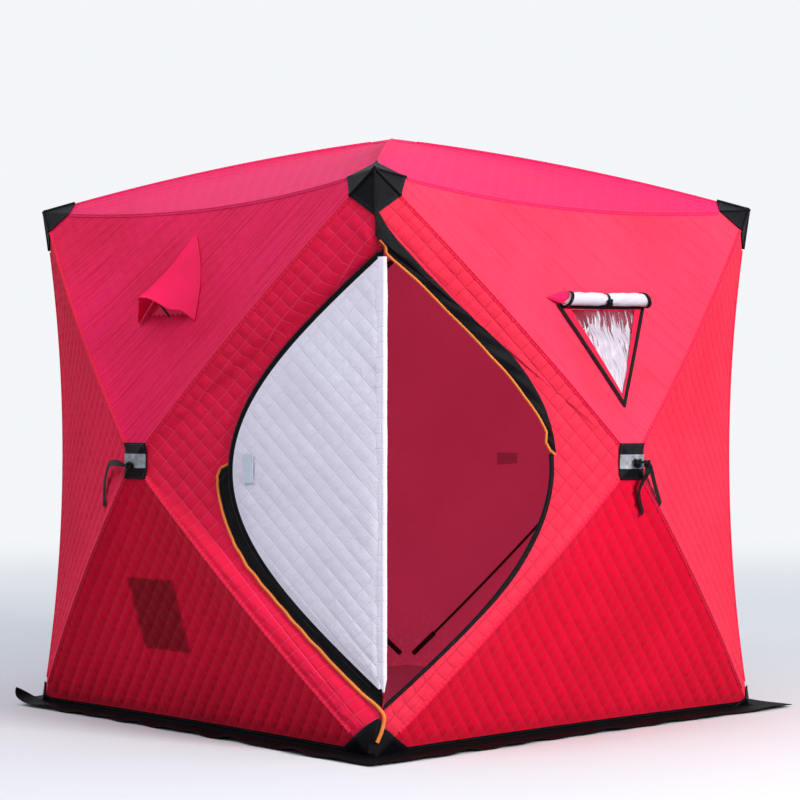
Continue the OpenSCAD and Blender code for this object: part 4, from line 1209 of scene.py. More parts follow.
def across(sides, ridge, count=3):
    """Rows of a tape: from the far edge of one panel over the ridge to the far edge of the other."""
    one, two = sides
    rows = [one(TAPE_HALF * (1 - i / count)) for i in range(count)]
    rows += [ridge]
    rows += [two(TAPE_HALF * (i + 1) / count) for i in range(count)]
    return np.stack(rows, 1)


def pole_seam(f, k):
    r = np.linspace(0.0662, 0.916, 70)
    other = next_facet(f, k)
    one = lambda d: skin(f, k, r, 1 - d / HALF / r) + facet_out(f, k) * TAPE_LIFT
    two = lambda d: skin(f, other, r, -1 + d / HALF / r) + facet_out(f, other) * TAPE_LIFT
    ridge = skin(f, k, r, 1.0) + NORMALS[f] * 0.0045
    return across((one, two), ridge), NORMALS[f]


def edge_seam(f, k, g, m, low=-0.84, high=0.84):
    t = np.linspace(low, high, 70)
    one = lambda d: skin(f, k, 1 - d / FACET_LEN, t) + facet_out(f, k) * TAPE_LIFT
    two = lambda d: skin(g, m, 1 - d / FACET_LEN, -t) + facet_out(g, m) * TAPE_LIFT
    out = unit(facet_out(f, k) + facet_out(g, m))
    return across((one, two), skin(f, k, 1.0, t) + out * 0.004), out


wall_seams, roof_seams, seam_lines = Shape(), Shape(), []


def sew_tape(shape, tape, out):
    """Adds a tape, and a line of stitches along each edge of it."""
    add_sheet(shape, tape, TAPE_T, out)
    seam_lines.extend(tape[:, column] + out * 0.0006 for column in (1, -2))


for face in (ROOF, *WALLS):
    for number in range(4):
        sew_tape(roof_seams if face == ROOF else wall_seams, *pole_seam(face, number))
for wall in WALLS:
    sew_tape(roof_seams, *edge_seam(ROOF, wall - 1, wall, 0))
    if wall != FRONT:
        sew_tape(wall_seams, *edge_seam(wall, 1, wall % 4 + 1, 3, -0.84, 0.9))
piece = trim("wall_seam_tapes", wall_seams, RED_PLAIN, "wall")
piece = trim("roof_seam_tapes", roof_seams, RED_ROOF, "roof")
beads("seam_stitches", seam_lines, SEAM_STITCH, RED_THREAD, slot="wall")

# %% [markdown]
# ## Corner patches
# Black patches take the wear where the poles end. A patch is six slices round a top corner, or four round a bottom
# corner, each lying on its own panel with a rounded outer edge. The slices share their edges, so the points are
# merged and then given thickness. Ridges over the poles and double stitching come after.


# %% Corner slices
def across_edge(f, k):
    """The facet on the other side of the outer edge of facet k, or none at the hem."""
    if f == ROOF:
        return k + 1, 0
    return {0: (ROOF, f - 1), 1: (f % 4 + 1, 3), 3: ((f + 2) % 4 + 1, 1)}.get(k)


def across_pole(f, k, at_b):
    step = 1 if at_b == (f != ROOF) else -1
    return f, (k + step) % 4


def corner_slice(f, k, at_b, reach, pole, steps=9, arcs=9, lift=0.003):
    """Grid on facet k round its corner: rows go out from the corner and columns from the edge to the pole."""
    grow = np.linspace(0, 1, steps)[:, None]
    turn_by = np.linspace(0, math.pi / 2, arcs)[None, :]
    x_edge = grow * np.cos(turn_by) ** 2 * reach
    x_pole = grow * np.sin(turn_by) ** 2 * pole / POLE_LEN
    length = np.linalg.norm(np.subtract(*facet_ends(f, k)))
    r = 1 - x_pole
    t = 1 - 2 * (x_edge / length) / r
    own, edge = facet_out(f, k), across_edge(f, k)
    side = own if edge is None else unit(own + facet_out(*edge)) * 1.3
    over = unit(own + facet_out(*across_pole(f, k, at_b))) * 1.1
    share = np.linspace(0, 1, arcs)[None, :, None]
    to_own, to_over = np.clip(share * 4, 0, 1), np.clip(share * 4 - 3, 0, 1)
    way = np.where(share < 0.5, side + (own - side) * to_own, own + (over - own) * to_over)
    return skin(f, k, r, t if at_b else -t) + way * lift * np.ones_like(grow)[..., None]


def corner_slices(c, high):
    """Face, panel and end of each slice round corner c, at the top or at the bottom."""
    fl = (c + 1) % 4 or 4
    fr = fl % 4 + 1
    if high:
        return [(fl, 0, True), (fl, 1, False), (fr, 3, True), (fr, 0, False), (ROOF, fr - 1, True),
                (ROOF, fl - 1, False)]
    return [(fl, 2, False), (fl, 1, True), (fr, 3, False), (fr, 2, True)]


SMALL_FOOT = 0.62


def corner_patch(name, node, high, reach, pole, lift):
    """One piece with the patches of all four corners; returns it, its stitch lines and the ridges over the poles."""
    lines, ridges, slices = [], Shape(), Shape()
    for c in range(4):
        size = 1.0 if high or c == 0 else SMALL_FOOT
        corner = corner_point(c, high)
        tip = corner + unit(np.array([*CORNER_XY[c], 1.0 if high else 0.0])) * lift * (1.7 if high else 1.3)
        for f, k, at_b in corner_slices(c, high):
            out = facet_out(f, k)
            along_edge = FOOT_HEM if k == 2 and f != ROOF else reach
            grid = corner_slice(f, k, at_b, size * along_edge, size * pole, lift=lift)
            grid[0] = tip
            flip = grid_normals(grid[1:], out)[1]
            side_axis = unit(np.cross(out, [0.3, 0.5, 0.8]))
            local = (grid - corner).reshape(-1, 3)
            uv = np.stack([local @ side_axis, local @ np.cross(out, side_axis)], -1)
            slices.add(grid.reshape(-1, 3), grid_faces(*grid.shape[:2], flip), uv)
            for share in (0.035, 0.10):
                line = grid[-1] * (1 - share) + grid[0] * share + out * 0.0026
                line[:, 2] = np.maximum(line[:, 2], 0.002)
                lines.append(line)
            if at_b:
                add_tube(ridges, grid[:, -1] + NORMALS[f] * 0.0015, 0.0056, 8, up=NORMALS[f])
            if high and k == 1:
                add_tube(ridges, grid[:, 0], 0.0052, 8, up=NORMALS[f])
    mesh = cloth_mesh(name, slices.points, slices.faces, slices.uv)
    mesh.materials.append(BLACK)
    made = new_object(name, mesh)
    made.modifiers.new("weld", "WELD").merge_threshold = 0.004
    thick = made.modifiers.new("thick", "SOLIDIFY")
    thick.thickness, thick.offset = 0.002, 1.0
    settle(made)
    for vertex in made.data.vertices:
        vertex.co.z = max(vertex.co.z, 0.0005)
    soften(made.data, 48)
    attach(made, "hut")
    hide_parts(node)
    return made, lines, ridges


caps, cap_lines, cap_ridges = corner_patch("top_corner_caps", "top_corner_patches", True, CAP_REACH, CAP_POLE, 0.0035)
feet, foot_lines, _ = corner_patch("bottom_corner_caps", "bottom_corner_patches", False, FOOT_REACH, FOOT_POLE, 0.0045)
trim("corner_ridges", cap_ridges, BLACK, "trim")
beads("corner_stitches", cap_lines + foot_lines, PATCH_STITCH, BLACK_THREAD)

# %% [markdown]
# ## Hub patches, reflective bands and pull straps
# Over each hub lies a square black patch, and on the walls a grey reflective band crosses it. A knotted webbing strap
# hangs from the middle: pulling it pops the wall out. The patch is a height field over the pyramid of the wall, with
# its tip rounded. The knot is a real overhand knot: a flattened tube along the curve of a trefoil.


# %% Hub frames
def hub_frame(f):
    """Right, up and outward directions of a face, as seen from outside."""
    out = NORMALS[f]
    up = np.array([0, 1.0, 0]) if f == ROOF else np.array([0, 0, 1.0])
    return np.cross(up, out), up, out


def on_hub(f, x, y, lift):
    """Point over the hub: x to the right and y up, on the pyramid with its pole ridges and a rounded tip."""
    right, up, out = hub_frame(f)
    x, y, lift = np.broadcast_arrays(np.asarray(x, float), np.asarray(y, float), np.asarray(lift, float))
    a, b = np.abs(x) / HALF, np.abs(y) / (HALF if f == ROOF else TOP / 2)
    r = np.maximum(a, b)
    ridge = np.minimum(a, b) / np.maximum(r, 1e-9)
    drop = np.sqrt(r * r + 0.006 ** 2) * (RISE if f == ROOF else BULGE) - ARCH * 4 * r * (1 - r) * ridge ** 4
    return hub_point(f) + right * x[..., None] + up * y[..., None] + out * (lift - drop)[..., None]


HUB_PATCH, BAND_H, NYLON_T = 0.059, 0.023, 0.0022
patches, roof_patch, bands, band_lines, patch_lines = Shape(), Shape(), Shape(), [], []
for face in (ROOF, *WALLS):
    steps = np.linspace(-1, 1, 19)
    gx, gy = np.meshgrid(steps * HUB_PATCH, steps * HUB_PATCH, indexing="ij")
    inward = 1 - np.maximum(np.abs(gx), np.abs(gy)) / HUB_PATCH
    soft = (0.0020 if face == ROOF else 0.0045) + 0.0018 * inward ** 0.5
    add_sheet(roof_patch if face == ROOF else patches, on_hub(face, gx, gy, soft), NYLON_T, NORMALS[face])
    ring = np.array([(-1, -1), (1, -1), (1, 1), (-1, 1), (-1, -1)]) * HUB_PATCH * 0.9
    square = np.concatenate([np.linspace(a, b, 12)[:-1] for a, b in zip(ring, ring[1:])] + [ring[-1:]])
    if face != ROOF:
        patch_lines.append(on_hub(face, square[:, 0], square[:, 1], 0.0062))
        bx, by = np.meshgrid(np.linspace(-1, 1, 23) * (HUB_PATCH - 0.001), np.linspace(-1, 1, 7) * BAND_H,
                             indexing="ij")
        add_sheet(bands, on_hub(face, bx, by, 0.0078 + 0.0012 * np.cos(bx / HUB_PATCH * 2)), 0.0012, NORMALS[face])
        for edge in (-0.88, 0.88):
            run = np.linspace(-0.95, 0.95, 16) * HUB_PATCH
            band_lines.append(on_hub(face, run, edge * BAND_H, 0.0088))
piece = trim("hub_patch_cloth", patches, BLACK, "trim", "hub_patches")
piece = trim("roof_hub_patch_cloth", roof_patch, RED_ROOF, "roof", "hub_patches")
piece = trim("reflective_band_tape", bands, TAPE, "reflective", "reflective_bands")
beads("hub_patch_stitches", patch_lines, FINE_STITCH, BLACK_THREAD)
beads("band_stitches", band_lines, FINE_STITCH, GREY_THREAD, slot="reflective")


# %% Pull straps
STRAP_W = 0.021
ONE_TAIL = [[(0.004, -0.016, 0.030), (-0.036, -0.008, 0.042), (-0.085, -0.007, 0.040), (-0.150, -0.014, 0.030),
             (-0.205, -0.050, 0.020), (-0.238, -0.094, 0.012), (-0.244, -0.156, 0.008)]]
TWO_TAILS = [[(0.046, -0.006, 0.030), (0.040, -0.040, 0.030), (0.034, -0.084, 0.020), (0.050, -0.120, 0.012),
              (0.088, -0.172, 0.008)],
             [(0.050, -0.004, 0.034), (0.080, -0.040, 0.030), (0.118, -0.090, 0.020), (0.160, -0.142, 0.010)]]


def smooth_path(points, count=40):
    """Points along a soft curve through the given ones."""
    points = np.asarray(points, float)
    knots = np.concatenate([2 * points[:1] - points[1:2], points, 2 * points[-1:] - points[-2:-1]])
    where = np.linspace(0, len(points) - 1, count)
    i = np.minimum(where.astype(int), len(points) - 2)
    x = (where - i)[:, None]
    a, b, c, d = knots[i], knots[i + 1], knots[i + 2], knots[i + 3]
    return 0.5 * (2 * b + (c - a) * x + (2 * a - 5 * b + 4 * c - d) * x ** 2 + (3 * b - a - 3 * c + d) * x ** 3)


def strap_tail(f, points, twist):
    """A webbing tail along a path over the hub, lying flat at its end and turned on edge by twist at its start."""
    path = smooth_path(points)
    centre = on_hub(f, path[:, 0], path[:, 1], path[:, 2])
    tangent = unit(np.gradient(centre, axis=0))
    out = np.broadcast_to(facet_out(f, 3 if path[-1, 0] < 0 else 1), centre.shape)
    turned = twist * np.exp(-np.linspace(0, 1, len(path)) * 4)[:, None]
    flat = unit(np.cross(out, tangent))
    flat = unit(flat * np.cos(turned) + np.cross(tangent, flat) * np.sin(turned))
    width = STRAP_W * np.clip(0.45 + np.linspace(0, 3, len(path)), 0, 1)
    return centre[:, None] + flat[:, None] * (np.linspace(-0.5, 0.5, 5)[None, :] * width[:, None])[..., None]


def trefoil(right, up, out, depth, count):
    """A closed overhand knot, about three units to each side, in the plane of right and up."""
    a = np.linspace(0, 2 * math.pi, count, endpoint=False)[:, None]
    flat = right * (np.sin(a) + 2 * np.sin(2 * a)) + up * (np.cos(a) - 2 * np.cos(2 * a))
    return flat - out * np.sin(3 * a) * depth


def tie_knot(shape, f, x, y, lift, size, radius):
    """Adds an overhand knot of flattened webbing over the hub."""
    path = on_hub(f, x, y, lift) + trefoil(*hub_frame(f), 1.5, 72) * size / 3
    add_tube(shape, path, radius, 10, closed=True, squash=0.8, up=NORMALS[f])


tails, knots, tail_length = Shape(), Shape(), 0.0
for face in WALLS:
    two = face in (RIGHT, LEFT)
    for points in TWO_TAILS if two else ONE_TAIL:
        grid = strap_tail(face, points, 0.5 if two else 1.3)
        tail_length += float(np.linalg.norm(np.diff(grid[:, 2], axis=0), axis=1).sum())
        add_sheet(tails, grid, 0.0018, NORMALS[face])
    tie_knot(knots, face, 0.0, -0.004 if two else -0.016, 0.018, 0.0125, 0.0052)
    if two:
        tie_knot(knots, face, 0.043, -0.006, 0.030, 0.0105, 0.0048)
        neck = smooth_path([(0.006, -0.004, 0.020), (0.020, -0.001, 0.034), (0.040, -0.005, 0.030)], 14)
        add_tube(knots, on_hub(face, neck[:, 0], neck[:, 1], neck[:, 2]), 0.0046, 8, squash=0.6, up=NORMALS[face])
piece = trim("pull_strap_tails", tails, WEBBING, "trim", "pull_straps")
trim("pull_strap_knots", knots, WEBBING, "trim")

# %% [markdown]
# ## Storm flaps, piping and zips
# Strips of black nylon cover the door's zips. The upper one hangs over the right cut with an orange corded edge
# on the doorway side; the lower one lies along the front cut with its cord outside. A strip like this could be a
# curve with a bevel, but a grid on the panel rule also gives the soft waves and the tapered ends.


# %% Strips along the lens
def lens_strip(f, angles, w_in, w_out, lift, cols=9, ripple=0.0, seed=1):
    """Grid of a strip along the lens; w_in and w_out may change along it."""
    angles = np.asarray(angles, float)
    share = np.linspace(0, 1, cols)[None, :]
    w = np.asarray(w_in)[:, None] + (np.asarray(w_out) - np.asarray(w_in))[:, None] * share
    run = np.linspace(0, 1, len(angles))[:, None]
    puffed = ripple * np.clip(0.75 + 0.6 * wave(run * 3 + share * 0.3, seed), 0.05, 2) * np.sin(share * math.pi)
    return beside_lens(f, angles[:, None], w, lift + puffed)


STORM_END, CORD_R = 94.4, 0.0044
UPPER_IN = [(4.5, 0.027), (6.5, 0.010), (10, -0.001), (14, 0.010), (19, 0.003), (30, -0.014), (41, -0.022),
            (48, -0.029), (66, -0.031), (78, -0.023), (87, -0.024), (93, -0.016)]
UPPER_OUT = [(4.5, 0.029), (12, 0.031), (22, 0.033), (38, 0.029), (50, 0.025), (66, 0.024), (76, 0.032), (86, 0.050),
             (90, 0.062), (95, 0.086)]
LOWER_IN = [(-94, -0.060), (-86, -0.040), (-74, -0.012), (2, -0.012)]
LOWER_OUT = [(-94, 0.036), (-84, 0.037), (-70, 0.031), (-54, 0.029), (-44, 0.033), (-38, 0.038), (-30, 0.040),
             (-16, 0.038), (-8, 0.036), (-4, 0.032), (-2, 0.026), (-0.6, 0.014), (0.8, -0.010)]


def along_lens(marks, angles):
    """Distance from the cut at each angle, read between marks of angle and distance."""
    at, value = np.array(marks, float).T
    return np.interp(angles, at, value)


storm_angles = np.concatenate([np.linspace(4.5, 15, 30), np.linspace(15.6, STORM_END, 100)])
low_angles = np.concatenate([np.linspace(-STORM_END, -8, 100), np.linspace(-7.7, 0.8, 26)])
upper_in, upper_out = along_lens(UPPER_IN, storm_angles), along_lens(UPPER_OUT, storm_angles)
low_in, low_out = along_lens(LOWER_IN, low_angles), along_lens(LOWER_OUT, low_angles)
strip = lens_strip(RIGHT, storm_angles, upper_in, upper_out, 0.0050, ripple=0.0060, seed=3)
upper = add_sheet(Shape(), strip, NYLON_T, facet_out(RIGHT, 3))
piece = trim("storm_flap_upper_cloth", upper, BLACK, "trim", "storm_flap_upper")
strip = lens_strip(FRONT, low_angles, low_in, low_out, 0.0045, ripple=0.0042, seed=8)
lower = add_sheet(Shape(), strip, NYLON_T, facet_out(FRONT, 1))
piece = trim("storm_flap_lower_cloth", lower, BLACK, "trim", "storm_flap_lower")
cords = Shape()
upper_cord = beside_lens(RIGHT, storm_angles[:-2], upper_in[:-2] - 0.002, 0.0065)
cord_wave = 0.0012 * wave(np.linspace(0, 4, len(low_angles)), 4)
low_cord = beside_lens(FRONT, low_angles, low_out + 0.0035 + cord_wave, 0.0055)
curl = door_point(RIGHT, [0.008, 0.020, 0.016, 0.004], [0.130, 0.104, 0.078, 0.050], [0.012] * 4)
curl = smooth_path(np.concatenate([low_cord[[9, 4]], curl]), 30)
low_cord = np.concatenate([curl[::-1], low_cord[10:]])
cord_r = np.interp(np.linspace(0, 1, len(low_cord)), [0, 0.35, 1], [0.0062, 0.0054, CORD_R])
add_tube(cords, upper_cord, CORD_R, 8, up=facet_out(RIGHT, 3))
add_tube(cords, low_cord, cord_r, 8, up=facet_out(FRONT, 1))
trim("storm_flap_piping", cords, ORANGE, "piping", "storm_piping")
aside, away = np.array([1, 1, 0]) / math.sqrt(2), np.array([1, -1, 0]) / math.sqrt(2)
tab_at = corner_point(0, False) + away * 0.020
tab = np.stack([[tab_at + aside * x + np.array([0, 0, z]) for x in (-0.015, 0.0, 0.015)]
                for z in (0.046, 0.034, 0.020)])
piece = trim("corner_webbing_tab", add_sheet(Shape(), tab, 0.002, away), WEBBING, "trim")
storm_lines = [beside_lens(RIGHT, storm_angles[25:-4], upper_out[25:-4] - 0.005, 0.0072),
               beside_lens(FRONT, low_angles[4:-20], low_out[4:-20] - 0.005, 0.0072)]
beads("storm_flap_stitches", storm_lines, FLAT_STITCH, BLACK_THREAD)


# %% Zips on the walls and on the flap
def flap_edge(angles, w, lift):
    """Points along the free edge of the folded flap, w in from the edge."""
    a = np.radians(np.asarray(angles, float))
    along_s, along_z = -FLAP_W * np.sin(a), FLAP_H * 2 / math.pi
    m = np.hypot(along_s, along_z)
    s = FLAP_W * np.cos(a) - w * along_z / m
    z = FLAP_Z + FLAP_H * a / (math.pi / 2) + w * along_s / m
    xy = AXIS_FOOT + FRONT_DIR * s[..., None] + FRONT_OUT * (FOLD_GAP + CLOTH + lift)
    return np.concatenate([xy, z[..., None]], -1)


ZIP_T = 0.0016
zips = Shape()
zip_up, zip_down = np.linspace(-3, 92.5, 90), np.linspace(-93, 5, 80)
zip_at = np.interp(zip_down, [-93, -85, -60, -30, 0], [0.026, 0.0255, 0.0165, 0.0085, 0.004])
strip = lens_strip(FRONT, zip_up, np.full(len(zip_up), -0.030), np.full(len(zip_up), -0.012), 0.0040)
add_sheet(zips, strip, ZIP_T, facet_out(FRONT, 1))
add_sheet(zips, lens_strip(RIGHT, zip_down, zip_at, zip_at + 0.017, 0.0035), ZIP_T, facet_out(RIGHT, 3))
piece = trim("wall_zip_tape", zips, BLACK, "trim", "door_zips")
edge_angles = np.linspace(-86.5, 89.3, 190)
strip = np.stack([flap_edge(edge_angles, w, -0.003) for w in np.linspace(-FLAP_TAPE, 0.003, 6)], 1)
flap_tape = add_sheet(Shape(), strip, ZIP_T, DOOR_OUT)
piece = trim("flap_zip_tape", flap_tape, BLACK, "trim", body="door")
coils = [beside_lens(FRONT, zip_up, -0.015, 0.0055), beside_lens(RIGHT, zip_down, zip_at + 0.007, 0.0050)]
beads("wall_zip_coil", coils, ZIP_TEETH, COIL)
hs, hz = np.meshgrid(np.linspace(0.462, 0.500, 5), np.linspace(0.824, 0.914, 8), indexing="ij")
hook_xy = AXIS_FOOT + FRONT_DIR * hs[..., None] + FRONT_OUT * (FOLD_GAP + CLOTH + 0.014)
hook = add_sheet(Shape(), np.concatenate([hook_xy, hz[..., None]], -1), NYLON_T, DOOR_OUT)
piece = trim("flap_hook_patch", hook, HOOK, "lining", body="door")
beads("flap_zip_coil", [flap_edge(edge_angles, 0.003 - FLAP_TAPE, -0.0020)], ZIP_TEETH, COIL, body="door")

# %% [markdown]
# ## Windows
# Each window is a triangle of clear film behind a black bound edge and a red inner strip. Its cover is rolled up above
# it with the white lining outside, bound in black at the ends and held by a tie. The film is a fine triangular
# grid with seeded crinkles, so its highlights break up as in real soft film.


# %% Window rings and film
def inset(polygon, by):
    """A smaller copy of a triangle, with its sides moved in."""
    moved = [(a - n * by, b - n * by) for a, b, n in sides_of(polygon)]
    corners = []
    for (a, b), (c, d) in zip(moved[-1:] + moved[:-1], moved):
        m = np.array([b - a, c - d]).T
        corners.append(a + (b - a) * np.linalg.solve(m, c - a)[0])
    return np.array(corners)


def outline(polygon, count=26):
    """Points along the sides of a polygon, count on each."""
    return np.concatenate([np.linspace(a, b, count, endpoint=False) for a, b, _ in sides_of(polygon)])


def triangle_ring(f, outer, inner, lift, arch=0.0, cols=6):
    """Rows of a flat ring between two triangles on a top panel, arched across its width."""
    a, b = outline(outer), outline(inner)
    share = np.linspace(0, 1, cols)
    flat = a[None] + (b - a)[None] * share[:, None, None]
    rise = lift + arch * np.sin(share * math.pi)[:, None] + np.zeros(len(a))[None]
    return top_point(f, flat[..., 0], flat[..., 1], rise)


def film_sheet(f, polygon, lift, n=30, seed=1):
    """Crinkled film over a triangle, with rows from its tip to its top, and its own flat coordinates."""
    rng = np.random.default_rng(seed)
    v = np.linspace(0.02, 1, n)[:, None]
    u = np.linspace(-1, 1, n)[None, :]
    tip, right, left = polygon
    x = tip[0] * (1 - v) + v * ((right[0] - left[0]) / 2 * u + (right[0] + left[0]) / 2)
    y = tip[1] * (1 - v) + v * ((right[1] - left[1]) / 2 * u + (right[1] + left[1]) / 2)
    dent = np.zeros_like(x)
    for _ in range(14):
        turn_to, size = rng.uniform(0, math.pi), rng.uniform(12, 38)
        dent += np.sin((x * math.cos(turn_to) + y * math.sin(turn_to)) * size * 2 + rng.uniform(0, 6)) / size
    hold = np.minimum(np.minimum(v, 1 - np.abs(u)), 1 - v * 0.98) * 4
    flat = np.stack([y - tip[1], x], -1).reshape(-1, 2)
    return top_point(f, x, y, lift + dent * 0.035 * np.clip(hold, 0, 1)), flat


window_edge, window_red, window_film, window_lines = Shape(), Shape(), Shape(), []
RED_RING = inset(WINDOW, 0.013)
FILM_RING = np.array([(0.012, 0.222), (0.173, 0.531), (-0.139, 0.518)])
FILM_EDGE = np.array([(0.012, 0.208), (0.183, 0.540), (-0.149, 0.528)])
for wall in (RIGHT, LEFT):
    out = facet_out(wall, 0)
    add_sheet(window_edge, triangle_ring(wall, WINDOW, RED_RING, 0.0045, 0.002), 0.002, -out, loop=True)
    add_sheet(window_red, triangle_ring(wall, inset(WINDOW, 0.011), FILM_RING, 0.0030, 0.0015), 0.0016, -out, loop=True)
    grid, flat = film_sheet(wall, FILM_EDGE, -0.001, seed=wall)
    add_sheet(window_film, grid, 0.0008, out)
    window_film.uv[-2 * len(flat):] = flat.tolist() * 2
    window_lines += [triangle_ring(wall, inset(WINDOW, 0.003), inset(WINDOW, 0.010), 0.0062, cols=2)[i] for i in (0, 1)]
piece = trim("window_edge_binding", window_edge, BLACK, "trim", "window_borders")
piece = trim("window_red_strip", window_red, RED_PLAIN, "wall")
piece = trim("window_clear_film", window_film, FILM, "clear", "window_panes")
beads("window_stitches", window_lines, FLAT_STITCH, BLACK_THREAD)


# %% Rolled window covers
ROLL_R, ROLL_Y, ROLL_TIE = 0.024, 0.553, 0.012


def roll_point(f, x, angle, radius):
    """Point of the roll: x along it and angle round it; its ends are cut on a slant."""
    out, up = facet_out(f, 0), np.array([0, 0, 1.0])
    up = unit(up - out * (up @ out))
    right = np.cross(up, out)
    base = top_point(f, 0.0, ROLL_Y, 0.0295) + up * (np.asarray(x) * 0.033)[..., None]
    slant = (0.45 - 0.9 * (np.asarray(x) + 0.16) / 0.37) * np.cos(angle) * ROLL_R
    return (base + right * (np.asarray(x) + slant)[..., None]
            + (up * np.cos(angle)[..., None] + out * np.sin(angle)[..., None]) * np.asarray(radius)[..., None])


def roll_grid(f, x0, x1, seed, turns=1.65, cols=48, rows=50):
    """A sheet wound on itself: the radius shrinks along the spiral."""
    x = np.linspace(x0, x1, rows)[:, None]
    share = np.linspace(0, 1, cols)[None, :]
    angle = -0.6 + share * turns * 2 * math.pi + 0 * x
    radius = ROLL_R - 0.0066 * turns * share + 0.0013 * wave(x * 5 + angle * 0.3, seed) * (1 - 0.5 * share)
    radius = radius * (1 - 0.26 * np.exp(-((x - ROLL_TIE) / 0.022) ** 2))
    return roll_point(f, x + 0 * share, angle, radius)


def roll_ring(f, x, wide, radius, count=28):
    """A band round the roll, from x on, so wide."""
    a = np.linspace(0, 2 * math.pi, count, endpoint=False)
    return np.stack([roll_point(f, np.full(count, x + wide * s), a, np.full(count, radius)) for s in (0, 0.5, 1)])


rolls, ends, ties, tucks = Shape(), Shape(), Shape(), Shape()
for wall in (RIGHT, LEFT):
    out = facet_out(wall, 0)
    grid = roll_grid(wall, -0.178, 0.210, seed=wall)
    add_sheet(rolls, grid, 0.0032, unit(grid[25, 5] - roll_point(wall, np.array(0.025), np.array(0.0), np.array(0.0))))
    for x, w in ((-0.178, 0.013), (0.196, 0.014)):
        add_sheet(ends, roll_ring(wall, x, w, ROLL_R + 0.0022), 0.0026, out, loop=True)
    tie_r = ROLL_R * 0.74 + 0.0030
    add_sheet(ties, roll_ring(wall, ROLL_TIE - 0.004, 0.008, tie_r), 0.0018, out, loop=True)
    spot = roll_point(wall, np.array([ROLL_TIE]), np.array([2.3]), np.array([tie_r + 0.003]))[0]
    side, up = hub_frame(wall)[:2]
    add_tube(ties, spot + trefoil(side, up, out, 1.2, 48) * 0.0036, 0.0036, 8, closed=True, up=out)
    v, u = np.linspace(0.03, 1, 12)[:, None], np.linspace(-1, 1, 12)[None, :]
    x, y = -0.246 + 0.080 * v + 0 * u, 0.551 + 0.030 * u * v + 0.006 * (1 - v)
    add_sheet(tucks, top_point(wall, x, y, 0.004 + 0.036 * v * (1 - u * u * 0.5)), 0.002, out)
piece = trim("window_roll_cover", rolls, ROLL_WHITE_SHADED, "lining", "window_rolls")
trim("window_roll_binding", ends, BLACK, "trim")
trim("window_roll_ties", ties, WEBBING, "trim")
trim("window_cover_tucks", tucks, RED_HOOD, "wall")

# %% [markdown]
# ## Vent hoods
# A vent is a hole in the cloth under a pointed red hood. A short rod props its lip, so the mouth stands open and its
# hem waves. The hood is a grid from its tip to its mouth, lifted most beside the middle. The rod is a tube from the
# foot of the strut to the hem, so it meets the cloth whatever the hood's shape.


# %% Hoods
PEAK_U, PEAK_LIFT, PEAK_RAISE = -0.25, 0.106, 0.056
HOOD_BULGE = 0.030
STRUT_Y, STRUT_R = 0.504, 0.004


def hood_grid(f, rows=34, cols=49):
    """Rows from the tip to the mouth; the strut pulls the mouth out to a blunt peak beside its middle."""
    v, u = np.linspace(0.02, 1, rows)[:, None], np.linspace(-1, 1, cols)[None, :]
    tent = np.where(u < PEAK_U, (u + 1) / (PEAK_U + 1), (1 - u) / (1 - PEAK_U))
    tent = np.clip(tent, 0, 1) ** 0.85
    hem = 0.005 * wave(u * 1.2 + 0.3, 6, 4, 0.6, 1.8) * v ** 4
    crease = 0.0022 * wave(u * 3 + v * 0.5, 9, 4, 0.8, 2.2) * np.sqrt(v) * (1 - u * u)
    sagging = -0.008 * np.sin(v * math.pi) * (1 - u * u)
    (lean, tip), (_, mouth), (half, _) = HOOD
    x = u * v * half + lean * (1 - v) + HOOD_BULGE * np.sin(v * math.pi) * np.clip(u, 0, 1)
    y = tip + (mouth - tip) * v + PEAK_RAISE * tent * v ** 3 - hem
    return top_point(f, x, y, 0.0045 + PEAK_LIFT * tent * v + sagging + crease)


hoods, struts, hood_lines = Shape(), Shape(), []
for wall in (FRONT, BACK):
    grid = hood_grid(wall)
    out = facet_out(wall, 0)
    add_sheet(hoods, grid, NYLON_T, out)
    foot = top_point(wall, np.zeros(1), np.full(1, STRUT_Y), 0.001)[0]
    add_tube(struts, np.linspace(foot, grid[-3, 25] - out * 0.0035, 5), STRUT_R, 12)
    hood_lines += [grid[-2] + out * 0.0008, grid[2:-1, 1] + out * 0.0012, grid[2:-1, -2] + out * 0.0012]
piece = trim("vent_hood_cloth", hoods, RED_HOOD, "wall", "vent_hoods")
trim("vent_strut_rods", struts, PLASTIC, "plastic", "vent_struts")
beads("vent_hood_stitches", hood_lines, HOOD_STITCH, RED_THREAD, slot="wall")

# %% [markdown]
# ## Snow skirt
# Along the hem a strip of black cloth lies out on the ground, where snow is banked on it. It starts a little way up
# the wall, turns at the hem and lies flat with a wavy outer edge. At the corners the strips are mitred, and at one
# corner the front strip ends in a loose, lifted tongue. One grid for each wall gives it, with seeded ripples.


# %% Skirts
SKIRT_W, TONGUE_LIFT = 0.125, 0.052
OPEN_ENDS = {FRONT: 1, LEFT: -1}


